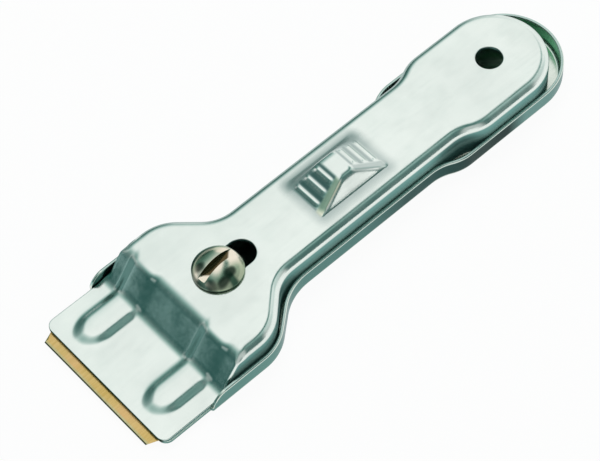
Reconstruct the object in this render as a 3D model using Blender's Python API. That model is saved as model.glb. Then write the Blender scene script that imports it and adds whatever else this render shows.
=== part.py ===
"""Hob scraper: two nested pressed-steel shells, a blade between them, and a coin-slotted clamp screw.

The lower shell is a shallow tray with a tongue that carries the blade on two pressed pips. The upper
shell slides in it along +X, from the blade bared to the blade covered, guided by the screw's shoulder
in an oblong slot. All pieces are drawn from the screw's axis, x forward towards the cutting edge,
z up from the table, and an empty then puts the middle of the whole scraper over the origin.
"""

from math import atan2, cos, pi, radians, sin, sqrt, tan

import bmesh
import bpy
from mathutils import Matrix, Vector

# Sheet and fits, metres
SHEET = 0.0008
SEAT_GAP = 0.0003
SIDE_CLEARANCE = 0.0003
TONGUE_CLEARANCE = 0.0002
OVERRUN = 0.003

# Blade, which sets the width of the tongues and of the head
BLADE_THICKNESS = 0.0003
BLADE_EXPOSURE = 0.0028
BLADE_DEPTH = 0.0190
BLADE_HALF = 0.0200
BLADE_CLIP = 0.0029
BLADE_CLIP_INSET = 0.0012
BLADE_GRIND = 0.0012
BLADE_EDGE_LAND = 0.00006
BLADE_HOLE_SETBACK = 0.0121
BLADE_REAR_CORNER = 0.0008

# Cover in plan: half widths, and lengths from the screw's axis back to the tail
HEAD_INSET = 0.0005
COVER_HANDLE_HALF = 0.0113
COVER_BULB_HALF = 0.0140
COVER_SHOULDER_X = 0.0012
SHOULDER_FLARE_RUN = 0.0107
HANDLE_LENGTH = 0.0597
BULB_FLARE_RUN = 0.0056
BULB_LENGTH = 0.0167
SHOULDER_RADIUS = 0.0120
WAIST_RADIUS = 0.0100
BULB_RADIUS = 0.0120
HEAD_CORNER_RADIUS = 0.0020

# Cover in height
COVER_TOP = 0.0113
COVER_BEND_RADIUS = 0.0024
STEP_TOP_X = 0.0116
STEP_RUN = 0.0071
TRAVEL = 0.0070

# Tongue and its two raised beads
TONGUE_MARGIN = 0.0020
TONGUE_LENGTH = 0.0181
TONGUE_CORNER_RADIUS = 0.0024
BEAD_INSET = 0.0069
BEAD_HALF = 0.0042
BEAD_FLAT_HALF = 0.0023
BEAD_HEIGHT = 0.0011
BEAD_NOSE_SETBACK = 0.0044
BEAD_SLOPE_HEIGHT = 0.0016
BEAD_TOP_DROP = 0.0002
BEAD_CHANNEL_NARROWING = 0.0005

# Thumb grip embossed in the handle
GRIP_SETBACK = 0.0289
GRIP_LENGTH = 0.0216
GRIP_WIDTH = 0.0135
GRIP_HEIGHT = 0.0050
GRIP_FLAT_LENGTH = 0.0040
GRIP_FLAT_WIDTH = 0.0052
GRIP_STAIRS = 4
GRIP_TREAD_SHARE = 0.62
GRIP_TREAD_DROP_SHARE = 0.2
GRIP_HOLLOW_DEPTH = 0.0011
FLANK_POWER = 1.2

# Screw, its slot and its bush
SLOT_WIDTH = 0.0080
SHOULDER_PLAY = 0.0003
HEAD_RADIUS = 0.0064
HEAD_RIM = 0.0006
HEAD_DOME = 0.0030
HEAD_EDGE = 0.00015
COIN_SLOT_WIDTH = 0.0022
COIN_SLOT_DEPTH = 0.0021
COIN_SLOT_ANGLE = radians(4)
SHANK_RADIUS = 0.0025
SHANK_TIP_RISE = 0.0015
SHANK_CHAMFER = 0.0004
BUSH_RADIUS = 0.0048
BUSH_HEIGHT = 0.0048
BUSH_NECK_RADIUS = 0.0036
BUSH_FOOT_RADIUS = 0.0043
BUSH_CHAMFER = 0.0003

# Hanging holes, in line when the cover is forward
HANGING_HOLE_OFFSET = 0.0015
HANGING_HOLE_RADIUS = 0.0035

# Lower shell
BASE_WALL = 0.0060
BASE_BEND_RADIUS = 0.0015
BASE_WAIST_SETBACK = 0.0018
BASE_SHOULDER_RADIUS = 0.0130
BASE_WAIST_RADIUS = 0.0150
BASE_FLARE_MARGIN = 0.0013
BASE_REAR_GAP = 0.0043
BASE_TONGUE_INSET = 0.0001
BASE_TONGUE_SETBACK = 0.0004
WALL_END_X = 0.0178
WALL_END_RUN = 0.0048
PIP_RADIUS = 0.0020
PIP_TOP_RADIUS = 0.0012
PIP_HEIGHT = 0.0016
DIMPLE_RADIUS = 0.0011

# Facets
CORNER_STEPS = 6
REAR_STEPS = 14
BEND_STEPS = 4
ROUND_STEPS = 40
DOME_STEPS = 5
BEAD_STEPS = 4
NOSE_STEPS = 10
WALL_END_STEPS = 8
FLANK_STEPS = 3

# Widths, levels and places that follow
COVER_WAIST_X = COVER_SHOULDER_X - SHOULDER_FLARE_RUN
COVER_NECK_X = COVER_WAIST_X - HANDLE_LENGTH
COVER_BULB_X = COVER_NECK_X - BULB_FLARE_RUN
COVER_REAR_CENTRE_X = COVER_BULB_X - BULB_LENGTH
GRIP_X = COVER_WAIST_X - GRIP_SETBACK
HANGING_HOLE_X = COVER_REAR_CENTRE_X + HANGING_HOLE_OFFSET
TONGUE_HALF = BLADE_HALF + TONGUE_MARGIN
BASE_TONGUE_HALF = TONGUE_HALF - BASE_TONGUE_INSET
COVER_HEAD_HALF = TONGUE_HALF - HEAD_INSET
BASE_HEAD_HALF = TONGUE_HALF + TONGUE_CLEARANCE + SHEET
BLADE_EDGE_HALF = BLADE_HALF - BLADE_CLIP_INSET
BEAD_Y = BLADE_HALF - BEAD_INSET
FLOOR_TOP = SHEET
BLADE_BOTTOM = FLOOR_TOP + SEAT_GAP
BLADE_TOP = BLADE_BOTTOM + BLADE_THICKNESS
COVER_BOTTOM = BLADE_TOP + SEAT_GAP
TONGUE_TOP = COVER_BOTTOM + SHEET
STEP_BOTTOM_X = STEP_TOP_X + STEP_RUN
STEP_SLOPE = atan2(COVER_TOP - TONGUE_TOP, STEP_RUN)
TONGUE_FRONT_X = STEP_BOTTOM_X + TONGUE_LENGTH
BLADE_EDGE_X = TONGUE_FRONT_X + BLADE_EXPOSURE
BLADE_REAR_X = BLADE_EDGE_X - BLADE_DEPTH
PIP_X = BLADE_EDGE_X - BLADE_HOLE_SETBACK
BASE_OFFSET = SIDE_CLEARANCE + SHEET
BASE_HANDLE_HALF = COVER_HANDLE_HALF + BASE_OFFSET
BASE_BULB_HALF = COVER_BULB_HALF + BASE_OFFSET
BASE_FLARE_SHIFT = TRAVEL + BASE_FLARE_MARGIN
COVER_REAR_X = COVER_REAR_CENTRE_X - COVER_BULB_HALF
BASE_REAR_X = COVER_REAR_X - BASE_REAR_GAP - SHEET
BASE_REAR_CENTRE_X = BASE_REAR_X + BASE_BULB_HALF
BASE_TONGUE_FRONT_X = TONGUE_FRONT_X - BASE_TONGUE_SETBACK
SHOULDER_HALF = SLOT_WIDTH / 2 - SHOULDER_PLAY
BUSH_BOTTOM = FLOOR_TOP + SEAT_GAP
BUSH_TOP = BUSH_BOTTOM + BUSH_HEIGHT
BUSH_BORE = SHANK_RADIUS + SEAT_GAP
HEAD_BOTTOM = COVER_TOP + SEAT_GAP
MIDDLE_X = (BLADE_EDGE_X + BASE_REAR_X) / 2


def clear_scene():
    """Removes every object."""
    for old in list(bpy.data.objects):
        bpy.data.objects.remove(old, do_unlink=True)


def metal(name, colour, roughness):
    """A bare metal finish."""
    finish = bpy.data.materials.new(name)
    finish.use_nodes = True
    shader = finish.node_tree.nodes["Principled BSDF"]
    shader.inputs["Base Color"].default_value = (*colour, 1)
    shader.inputs["Roughness"].default_value = roughness
    shader.inputs["Metallic"].default_value = 1
    finish.diffuse_color = (*colour, 1)
    return finish


def solid(name, points, faces):
    """A mesh object with its faces turned outwards."""
    mesh = bpy.data.meshes.new(name)
    mesh.from_pydata([tuple(point) for point in points], [], faces)
    shape = bmesh.new()
    shape.from_mesh(mesh)
    bmesh.ops.recalc_face_normals(shape, faces=shape.faces)
    shape.to_mesh(mesh)
    shape.free()
    piece = bpy.data.objects.new(name, mesh)
    bpy.context.scene.collection.objects.link(piece)
    return piece


def apply_modifiers(piece):
    """Keeps the shape that the modifiers give."""
    bpy.context.view_layer.update()
    shown = piece.evaluated_get(bpy.context.evaluated_depsgraph_get())
    mesh = bpy.data.meshes.new_from_object(shown)
    piece.modifiers.clear()
    piece.data = mesh


def combine(piece, other, operation):
    """Joins another solid to the piece, or cuts it away, and removes it."""
    boolean = piece.modifiers.new(operation.title(), "BOOLEAN")
    boolean.operation = operation
    boolean.solver = "EXACT"
    boolean.object = other
    apply_modifiers(piece)
    bpy.data.objects.remove(other, do_unlink=True)


def dress(piece, finish, parent):
    """Shades a finished piece, gives it its material and puts it under the scraper's frame."""
    piece.data.materials.clear()
    piece.data.materials.append(finish)
    piece.data.shade_smooth()
    piece.data.set_sharp_from_angle(angle=radians(30))
    piece.parent = parent


def loft(name, rings):
    """A solid through closed rings of equal length, capped at both ends."""
    count = len(rings[0])
    points = [point for ring in rings for point in ring]
    faces = [list(range(count)), [(len(rings) - 1) * count + step for step in range(count)]]
    for level in range(len(rings) - 1):
        for step in range(count):
            here = level * count + step
            beside = level * count + (step + 1) % count
            faces.append([here, beside, beside + count, here + count])
    return solid(name, points, faces)


def turned(name, profile, steps):
    """A solid turned about z from a closed profile of (radius, height)."""
    points = []
    first = []
    for radius, height in profile:
        first.append(len(points))
        turns = steps if radius > 0 else 1
        for step in range(turns):
            angle = 2 * pi * step / steps
            points.append((radius * cos(angle), radius * sin(angle), height))
    faces = []
    for low, (radius, _) in enumerate(profile):
        high = (low + 1) % len(profile)
        rise = profile[high][0]
        if radius == 0 and rise == 0:
            continue
        for step in range(steps):
            after = (step + 1) % steps
            if radius == 0:
                faces.append([first[low], first[high] + step, first[high] + after])
            elif rise == 0:
                faces.append([first[low] + step, first[low] + after, first[high]])
            else:
                faces.append([first[low] + step, first[low] + after, first[high] + after, first[high] + step])
    return solid(name, points, faces)


def prism(name, outline, low, high):
    """An outline in plan, raised from one height to another."""
    return loft(name, [[(x, y, height) for x, y in outline] for height in (low, high)])


def side_prism(name, outline, near, far):
    """An outline in x and z, drawn out along y."""
    return loft(name, [[(x, y, z) for x, z in outline] for y in (near, far)])


def arc(centre_x, centre_y, radius, start, end, steps):
    """Points of an arc in plan, both ends included."""
    angles = [start + (end - start) * step / steps for step in range(steps + 1)]
    return [(centre_x + radius * cos(angle), centre_y + radius * sin(angle)) for angle in angles]


def rounded_corner(before, corner, after, radius):
    """The arc that rounds a corner of a shell's side, as points with their outward normals."""
    inward = (corner - before).normalized()
    outward = (after - corner).normalized()
    bulge = 1 if inward.cross(outward) > 0 else -1
    turn = inward.angle(outward)
    start = corner - inward * radius * tan(turn / 2)
    centre = start - Vector((inward.y, -inward.x)) * radius * bulge
    points = []
    for step in range(CORNER_STEPS + 1):
        heading = Matrix.Rotation(bulge * turn * step / CORNER_STEPS, 2) @ inward
        normal = Vector((heading.y, -heading.x))
        points.append((centre + normal * radius * bulge, normal))
    return points


def shell_side(corners, rear_centre_x):
    """One side of a shell in plan, from the head's corner to the tail, as points with outward normals."""
    head_x = corners[0][0] + SHOULDER_RADIUS + BASE_SHOULDER_RADIUS
    ends = [Vector((head_x, corners[0][1]))]
    ends += [Vector((x, half)) for x, half, _ in corners]
    ends.append(Vector((rear_centre_x, corners[-1][1])))
    side = []
    for place, (_, _, radius) in enumerate(corners, start=1):
        side += rounded_corner(ends[place - 1], ends[place], ends[place + 1], radius)
    tail_radius = corners[-1][1]
    for step in range(REAR_STEPS + 1):
        angle = pi / 2 * (1 + step / REAR_STEPS)
        normal = Vector((cos(angle), sin(angle)))
        side.append((Vector((rear_centre_x, 0)) + normal * tail_radius, normal))
    return side


def shell_ring(side, head_half, inset, front_x, corner_radius, height):
    """A shell's outline at one height: its side moved in, and closed by a front with round corners."""
    radius = max(corner_radius - inset, SHEET / 2)
    half = head_half - inset
    right = arc(front_x - radius, half - radius, radius, 0, pi / 2, CORNER_STEPS)
    right += [tuple(point - normal * inset) for point, normal in side]
    left = [(x, -y) for x, y in reversed(right[:-1])]
    return [(x, y, height) for x, y in right + left]


def cover_side():
    """The cover's side in plan."""
    corners = [
        (COVER_SHOULDER_X, COVER_HEAD_HALF, SHOULDER_RADIUS),
        (COVER_WAIST_X, COVER_HANDLE_HALF, WAIST_RADIUS),
        (COVER_NECK_X, COVER_HANDLE_HALF, BULB_RADIUS),
        (COVER_BULB_X, COVER_BULB_HALF, BULB_RADIUS),
    ]
    return shell_side(corners, COVER_REAR_CENTRE_X)


def base_side():
    """The base's side in plan: the cover's with room to slide, and its bulb further forward."""
    corners = [
        (COVER_SHOULDER_X, BASE_HEAD_HALF, BASE_SHOULDER_RADIUS),
        (COVER_WAIST_X - BASE_WAIST_SETBACK, BASE_HANDLE_HALF, BASE_WAIST_RADIUS),
        (COVER_NECK_X + BASE_FLARE_SHIFT, BASE_HANDLE_HALF, BULB_RADIUS),
        (COVER_BULB_X + BASE_FLARE_SHIFT, BASE_BULB_HALF, BULB_RADIUS),
    ]
    return shell_side(corners, BASE_REAR_CENTRE_X)


def step_front(height, depth):
    """How far forward the step's face lies at a height, on the surface or at a depth under it."""
    centre_z = COVER_TOP - COVER_BEND_RADIUS
    centre_x = STEP_TOP_X - COVER_BEND_RADIUS * tan(STEP_SLOPE / 2)
    radius = COVER_BEND_RADIUS - depth
    if height > centre_z + radius * cos(STEP_SLOPE):
        return centre_x + sqrt(max(radius**2 - (height - centre_z) ** 2, 0))
    tangent_x = centre_x + radius * sin(STEP_SLOPE)
    tangent_z = centre_z + radius * cos(STEP_SLOPE)
    return tangent_x + (tangent_z - height) / tan(STEP_SLOPE)


def cover_form(name, depth, bottom):
    """The body of the cover as a full solid, on its surface or at a depth under it."""
    side = cover_side()
    radius = COVER_BEND_RADIUS - depth
    levels = [(bottom, depth)]
    for step in range(BEND_STEPS + 1):
        angle = pi / 2 * step / BEND_STEPS
        levels.append((COVER_TOP - COVER_BEND_RADIUS + radius * sin(angle), COVER_BEND_RADIUS - radius * cos(angle)))
    rings = [
        shell_ring(side, COVER_HEAD_HALF, inset, step_front(height, depth), HEAD_CORNER_RADIUS, height)
        for height, inset in levels
    ]
    return loft(name, rings)


def tongue_outline(half, front_x, rear_x):
    """A tongue in plan, square at the rear and round at its two front corners."""
    radius = TONGUE_CORNER_RADIUS
    right = arc(front_x - radius, half - radius, radius, 0, pi / 2, CORNER_STEPS)
    right.append((rear_x, half))
    return right + [(x, -y) for x, y in reversed(right)]


def bead_profile(narrowing):
    """Half of a bead's cross-section, foot to crown, as (distance from its middle, share of its height)."""
    foot = BEAD_HALF - narrowing
    crown = BEAD_FLAT_HALF - narrowing
    steps = [step / BEAD_STEPS for step in range(BEAD_STEPS + 1)]
    return [(foot + (crown - foot) * share, (1 - cos(pi * share)) / 2) for share in steps]


def bead_ring(y, reach, share, depth, sunk):
    """One contour of a bead: up the step on one side, round the nose, and back on the other."""
    rise = BEAD_HEIGHT * share - sunk
    proud = BEAD_SLOPE_HEIGHT * share - sunk
    surface = TONGUE_TOP - depth
    end_z = COVER_TOP - BEAD_TOP_DROP - depth
    end_x = step_front(TONGUE_TOP, depth) - (end_z - TONGUE_TOP) / tan(STEP_SLOPE) + proud / sin(STEP_SLOPE)
    turn_z = surface + rise
    turn_x = step_front(TONGUE_TOP, depth) + (TONGUE_TOP - turn_z) / tan(STEP_SLOPE) + proud / sin(STEP_SLOPE)
    nose_x = TONGUE_FRONT_X - BEAD_NOSE_SETBACK - BEAD_HALF
    nose = arc(nose_x, y, reach, -pi / 2, pi / 2, NOSE_STEPS)
    right = [(end_x, y - reach, end_z), (turn_x, y - reach, turn_z)]
    left = [(turn_x, y + reach, turn_z), (end_x, y + reach, end_z)]
    return right + [(x, across, turn_z) for x, across in nose] + left


def bead(name, y, depth, narrowing, sunk):
    """A raised bead that runs down the step and along the tongue, or the hollow under it."""
    profile = bead_profile(narrowing)
    rings = [bead_ring(y, profile[0][0], 0, depth, sunk)]
    rings += [bead_ring(y, reach, share, depth, 0) for reach, share in profile]
    count = len(rings[0])
    points = [point for ring in rings for point in ring]
    faces = []
    for level in range(len(rings) - 1):
        for step in range(count - 1):
            here = level * count + step
            faces.append([here, here + 1, here + 1 + count, here + count])
    for level in (0, len(rings) - 1):
        for step in range(count // 2 - 1):
            near = level * count + step
            far = level * count + count - 1 - step
            faces.append([near, near + 1, far - 1, far])
        middle = level * count + count // 2
        faces.append([middle - 1, middle, middle + 1])
    top_end = [level * count for level in range(len(rings))]
    top_end += [level * count + count - 1 for level in reversed(range(len(rings)))]
    faces.append(top_end)
    return solid(name, points, faces)


def stair_profile():
    """Distance from the grip's middle and share of its height, from the flat top down one flight."""
    start = GRIP_FLAT_LENGTH / 2
    run = (GRIP_LENGTH - GRIP_FLAT_LENGTH) / 2
    treads = GRIP_STAIRS - 1
    tread = run * GRIP_TREAD_SHARE / treads
    riser = run * (1 - GRIP_TREAD_SHARE) / GRIP_STAIRS
    drop = 1 / (GRIP_STAIRS + treads * GRIP_TREAD_DROP_SHARE)
    place, height = start, 1
    profile = [(place, height)]
    for stair in range(GRIP_STAIRS):
        place += riser
        height -= drop
        profile.append((place, height))
        if stair < treads:
            place += tread
            height -= drop * GRIP_TREAD_DROP_SHARE
            profile.append((place, height))
    return profile


def grip_form(name, profile, half_width, flat_half, base_z, height, sunk):
    """The grip as a loft along x: stairs down both ways, and two hollowed flanks."""
    def section(x, share):
        level = [level / FLANK_STEPS * share for level in range(FLANK_STEPS + 1)]
        flank = [(flat_half + (half_width - flat_half) * (1 - part) ** FLANK_POWER, part) for part in level]
        right = [(x, half_width, base_z - sunk)] + [(x, y, base_z + height * part) for y, part in flank]
        return right + [(x, -y, z) for x, y, z in reversed(right)]

    lowest = SHEET / GRIP_HEIGHT / GRIP_STAIRS / FLANK_STEPS
    forward = [(GRIP_X + place, max(share, lowest)) for place, share in profile]
    rearward = [(GRIP_X - place, share) for (place, _), (_, share) in zip(profile, forward)]
    return loft(name, [section(x, share) for x, share in list(reversed(forward)) + rearward])


def grip_outside():
    """The grip's pressed outside."""
    return grip_form("grip", stair_profile(), GRIP_WIDTH / 2, GRIP_FLAT_WIDTH / 2, COVER_TOP, GRIP_HEIGHT, SHEET / 2)


def grip_hollow():
    """The plain hollow under the grip, a sheet's depth inside its flights and flanks."""
    slope = atan2(GRIP_HEIGHT, (GRIP_LENGTH - GRIP_FLAT_LENGTH) / 2)
    flank = atan2(GRIP_HEIGHT, (GRIP_WIDTH - GRIP_FLAT_WIDTH) / 2)
    along = GRIP_HOLLOW_DEPTH / sin(slope) - SHEET / tan(slope)
    across = SHEET / sin(flank) - SHEET / tan(flank)
    profile = [(GRIP_FLAT_LENGTH / 2 - along, 1), (GRIP_LENGTH / 2 - along, 0)]
    half_width = GRIP_WIDTH / 2 - across
    flat_half = GRIP_FLAT_WIDTH / 2 - across
    return grip_form("grip_hollow", profile, half_width, flat_half, COVER_TOP - SHEET, GRIP_HEIGHT, SHEET / 2)


def drill(name, x, y, radius, low, high):
    """A round cutter standing at a place in plan."""
    cutter = turned(name, [(0, low), (radius, low), (radius, high), (0, high)], ROUND_STEPS)
    cutter.location = (x, y, 0)
    return cutter


def slot_cutter():
    """The oblong slot that the screw's shoulder slides along."""
    radius = SLOT_WIDTH / 2
    front = arc(0, 0, radius, -pi / 2, pi / 2, ROUND_STEPS // 2)
    rear = arc(-TRAVEL, 0, radius, pi / 2, pi * 3 / 2, ROUND_STEPS // 2)
    return prism("slot", front + rear, COVER_TOP - SHEET - OVERRUN, COVER_TOP + OVERRUN)


def make_cover():
    """The sliding cover, one pressing: body, step, tongue, beads, grip, slot and hanging hole."""
    cover = cover_form("cover_shell", 0, COVER_BOTTOM - OVERRUN)
    outline = tongue_outline(TONGUE_HALF, TONGUE_FRONT_X, STEP_BOTTOM_X - SHEET * 2)
    combine(cover, prism("tongue", outline, COVER_BOTTOM - OVERRUN, TONGUE_TOP), "UNION")
    for side in (-1, 1):
        combine(cover, bead("bead", side * BEAD_Y, 0, 0, SHEET / 2), "UNION")
    combine(cover, grip_outside(), "UNION")
    combine(cover, cover_form("hollow", SHEET, COVER_BOTTOM - OVERRUN * 2), "DIFFERENCE")
    front_x = TONGUE_FRONT_X + OVERRUN
    rear_x = COVER_REAR_X - OVERRUN
    half = TONGUE_HALF + OVERRUN
    below = [(front_x, -half), (front_x, half), (rear_x, half), (rear_x, -half)]
    combine(cover, prism("underside", below, COVER_BOTTOM - OVERRUN * 3, COVER_BOTTOM), "DIFFERENCE")
    for side in (-1, 1):
        channel = bead("channel", side * BEAD_Y, SHEET, BEAD_CHANNEL_NARROWING, SHEET / 2)
        combine(cover, channel, "DIFFERENCE")
    combine(cover, grip_hollow(), "DIFFERENCE")
    combine(cover, slot_cutter(), "DIFFERENCE")
    hole = drill("hole", HANGING_HOLE_X, 0, HANGING_HOLE_RADIUS, COVER_TOP - SHEET - OVERRUN, COVER_TOP + OVERRUN)
    combine(cover, hole, "DIFFERENCE")
    return cover


def base_form(name, depth, low, high):
    """The tray as a full solid, on its surface or at a depth inside it."""
    side = base_side()
    radius = BASE_BEND_RADIUS - depth
    front_x = BASE_TONGUE_FRONT_X + OVERRUN * 2 - depth
    levels = []
    for step in range(BEND_STEPS + 1):
        angle = pi / 2 * step / BEND_STEPS
        levels.append((low + radius * (1 - cos(angle)), BASE_BEND_RADIUS - radius * sin(angle)))
    levels.append((high, depth))
    rings = [
        shell_ring(side, BASE_HEAD_HALF, inset, front_x, TONGUE_CORNER_RADIUS, height)
        for height, inset in levels
    ]
    return loft(name, rings)


def wall_end_cutter(side):
    """Trims one side wall to a rounded front end, and the tongue to its width."""
    outline = [(WALL_END_X, BASE_WALL + OVERRUN)]
    for step in range(WALL_END_STEPS):
        angle = pi / 2 * step / WALL_END_STEPS
        outline.append((WALL_END_X + WALL_END_RUN * sin(angle), BASE_WALL * cos(angle)))
    outline.append((WALL_END_X + WALL_END_RUN, -OVERRUN))
    outline.append((BASE_TONGUE_FRONT_X + OVERRUN * 3, -OVERRUN))
    outline.append((BASE_TONGUE_FRONT_X + OVERRUN * 3, BASE_WALL + OVERRUN))
    return side_prism("wall_end", outline, side * BASE_TONGUE_HALF, side * (BASE_HEAD_HALF + OVERRUN))


def tongue_front_cutter():
    """Trims the base's tongue to its front edge and its two round corners."""
    keep = tongue_outline(BASE_TONGUE_HALF, BASE_TONGUE_FRONT_X, BASE_TONGUE_FRONT_X - TONGUE_CORNER_RADIUS)
    front = BASE_TONGUE_FRONT_X + OVERRUN * 3
    wide = BASE_TONGUE_HALF + OVERRUN
    corner_x = BASE_TONGUE_FRONT_X - TONGUE_CORNER_RADIUS
    right = [(x, y) for x, y in keep[: CORNER_STEPS + 1]]
    left = [(x, -y) for x, y in reversed(right)]
    outline = [(corner_x, wide)] + list(reversed(right)) + list(reversed(left)) + [(corner_x, -wide)]
    outline += [(front, -wide), (front, wide)]
    return prism("tongue_front", outline, -OVERRUN, BASE_WALL + OVERRUN)


def pip():
    """The dome pressed up from the tongue that holds the blade by a hole."""
    top = FLOOR_TOP + PIP_HEIGHT
    shoulder = top - (PIP_RADIUS - PIP_TOP_RADIUS)
    profile = [(0, SHEET / 2), (PIP_RADIUS, SHEET / 2)]
    for step in range(BEND_STEPS + 1):
        angle = pi / 2 * step / BEND_STEPS
        round_radius = PIP_RADIUS - PIP_TOP_RADIUS
        profile.append((PIP_TOP_RADIUS + round_radius * cos(angle), shoulder + round_radius * sin(angle)))
    profile.append((0, top))
    return turned("pip", profile, ROUND_STEPS // 2)


def bush_seat():
    """The countersunk hole in the floor that the bush is riveted into."""
    profile = [
        (0, -OVERRUN),
        (BUSH_FOOT_RADIUS + SEAT_GAP, -OVERRUN),
        (BUSH_FOOT_RADIUS + SEAT_GAP, 0),
        (BUSH_NECK_RADIUS + SEAT_GAP, FLOOR_TOP),
        (BUSH_NECK_RADIUS + SEAT_GAP, FLOOR_TOP + OVERRUN),
        (0, FLOOR_TOP + OVERRUN),
    ]
    return turned("bush_seat", profile, ROUND_STEPS)


def make_base():
    """The lower shell, one pressing: tray, tongue with two pips, bush seat and hanging hole."""
    base = base_form("base_shell", 0, 0, BASE_WALL)
    combine(base, base_form("hollow", SHEET, SHEET, BASE_WALL + OVERRUN), "DIFFERENCE")
    for side in (-1, 1):
        combine(base, wall_end_cutter(side), "DIFFERENCE")
    combine(base, tongue_front_cutter(), "DIFFERENCE")
    for side in (-1, 1):
        dome = pip()
        dome.location = (PIP_X, side * BEAD_Y, 0)
        combine(base, dome, "UNION")
        dimple_top = FLOOR_TOP + PIP_HEIGHT - SHEET
        combine(base, drill("dimple", PIP_X, side * BEAD_Y, DIMPLE_RADIUS, -OVERRUN, dimple_top), "DIFFERENCE")
    combine(base, bush_seat(), "DIFFERENCE")
    hole = drill("hole", HANGING_HOLE_X + TRAVEL, 0, HANGING_HOLE_RADIUS, -OVERRUN, FLOOR_TOP + OVERRUN)
    combine(base, hole, "DIFFERENCE")
    return base


def blade_outline(grind):
    """The blade in plan: front corners clipped, rear corners eased, the edge ground back or not."""
    right = [
        (BLADE_EDGE_X - grind, BLADE_EDGE_HALF),
        (BLADE_EDGE_X - BLADE_CLIP, BLADE_HALF),
        (BLADE_REAR_X + BLADE_REAR_CORNER, BLADE_HALF),
        (BLADE_REAR_X, BLADE_HALF - BLADE_REAR_CORNER),
    ]
    return right + [(x, -y) for x, y in reversed(right)]


def make_blade():
    """The blade, ground from both faces to its edge, with a hole over each pip."""
    middle = (BLADE_BOTTOM + BLADE_TOP) / 2
    levels = [
        (BLADE_BOTTOM, BLADE_GRIND),
        (middle - BLADE_EDGE_LAND / 2, 0),
        (middle + BLADE_EDGE_LAND / 2, 0),
        (BLADE_TOP, BLADE_GRIND),
    ]
    blade = loft("blade", [[(x, y, height) for x, y in blade_outline(grind)] for height, grind in levels])
    for side in (-1, 1):
        radius = PIP_RADIUS + SEAT_GAP
        hole = drill("pip_hole", PIP_X, side * BEAD_Y, radius, BLADE_BOTTOM - OVERRUN, BLADE_TOP + OVERRUN)
        combine(blade, hole, "DIFFERENCE")
    return blade


def make_screw():
    """The coin-slotted screw: domed head, shoulder through the cover's slot, shank in the bush."""
    rim_top = HEAD_BOTTOM + HEAD_RIM
    tip = BUSH_BOTTOM + SHANK_TIP_RISE
    shoulder_end = BUSH_TOP + SEAT_GAP
    profile = [
        (0, tip),
        (SHANK_RADIUS - SHANK_CHAMFER, tip),
        (SHANK_RADIUS, tip + SHANK_CHAMFER),
        (SHANK_RADIUS, shoulder_end),
        (SHOULDER_HALF, shoulder_end),
        (SHOULDER_HALF, HEAD_BOTTOM),
        (HEAD_RADIUS - HEAD_EDGE, HEAD_BOTTOM),
        (HEAD_RADIUS, HEAD_BOTTOM + HEAD_EDGE),
        (HEAD_RADIUS, rim_top),
    ]
    dome_radius = (HEAD_RADIUS**2 + HEAD_DOME**2) / (2 * HEAD_DOME)
    spread = atan2(HEAD_RADIUS, dome_radius - HEAD_DOME)
    for step in range(1, DOME_STEPS + 1):
        angle = spread * (1 - step / DOME_STEPS)
        radius = dome_radius * sin(angle) if step < DOME_STEPS else 0
        profile.append((radius, rim_top + HEAD_DOME - dome_radius * (1 - cos(angle))))
    screw = turned("clamp_screw", profile, ROUND_STEPS)
    half = COIN_SLOT_WIDTH / 2
    reach = HEAD_RADIUS + OVERRUN
    outline = [(reach, -half), (reach, half), (-reach, half), (-reach, -half)]
    top = rim_top + HEAD_DOME
    coin_slot = prism("coin_slot", outline, top - COIN_SLOT_DEPTH, top + OVERRUN)
    coin_slot.rotation_euler = (0, 0, COIN_SLOT_ANGLE)
    combine(screw, coin_slot, "DIFFERENCE")
    return screw


def make_bush():
    """The threaded bush: body on the floor, neck through it, foot spread in the countersink."""
    profile = [
        (BUSH_BORE, 0),
        (BUSH_FOOT_RADIUS, 0),
        (BUSH_NECK_RADIUS, FLOOR_TOP),
        (BUSH_NECK_RADIUS, BUSH_BOTTOM),
        (BUSH_RADIUS, BUSH_BOTTOM),
        (BUSH_RADIUS, BUSH_TOP - BUSH_CHAMFER),
        (BUSH_RADIUS - BUSH_CHAMFER, BUSH_TOP),
        (BUSH_BORE, BUSH_TOP),
    ]
    return turned("threaded_bush", profile, ROUND_STEPS)


def main():
    """Builds the scraper with the cover drawn back and the blade bare."""
    clear_scene()
    frame = bpy.data.objects.new("scraper_frame", None)
    bpy.context.scene.collection.objects.link(frame)
    plated_steel = metal("plated_steel", (0.86, 0.88, 0.86), 0.22)
    gold_steel = metal("gold_blade_steel", (0.83, 0.63, 0.30), 0.30)
    nickel = metal("nickel", (0.66, 0.61, 0.53), 0.20)
    brass = metal("bush_brass", (0.78, 0.62, 0.36), 0.30)
    dress(make_base(), plated_steel, frame)
    dress(make_cover(), plated_steel.copy(), frame)
    dress(make_blade(), gold_steel, frame)
    dress(make_screw(), nickel, frame)
    dress(make_bush(), brass, frame)
    frame.location = (-MIDDLE_X, 0, 0)


main()
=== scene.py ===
"""Looks of the hob scraper: two plated pressed-steel shells, a gold blade and a nickel screw.

Both shells are drawn as one sheet each, with every bend rounded, the beads and the thumb grip
pressed up smoothly, and rolled edges. Lengths are in millimetres from the screw's axis, x forward to
the cutting edge, y to the side that the photo shows, z up, until placed() turns them into metres.
"""

from math import atan2, cos, hypot, pi, radians, sin, tan

import bmesh
import bpy
import numpy as np
from mathutils import Matrix, Vector


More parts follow.
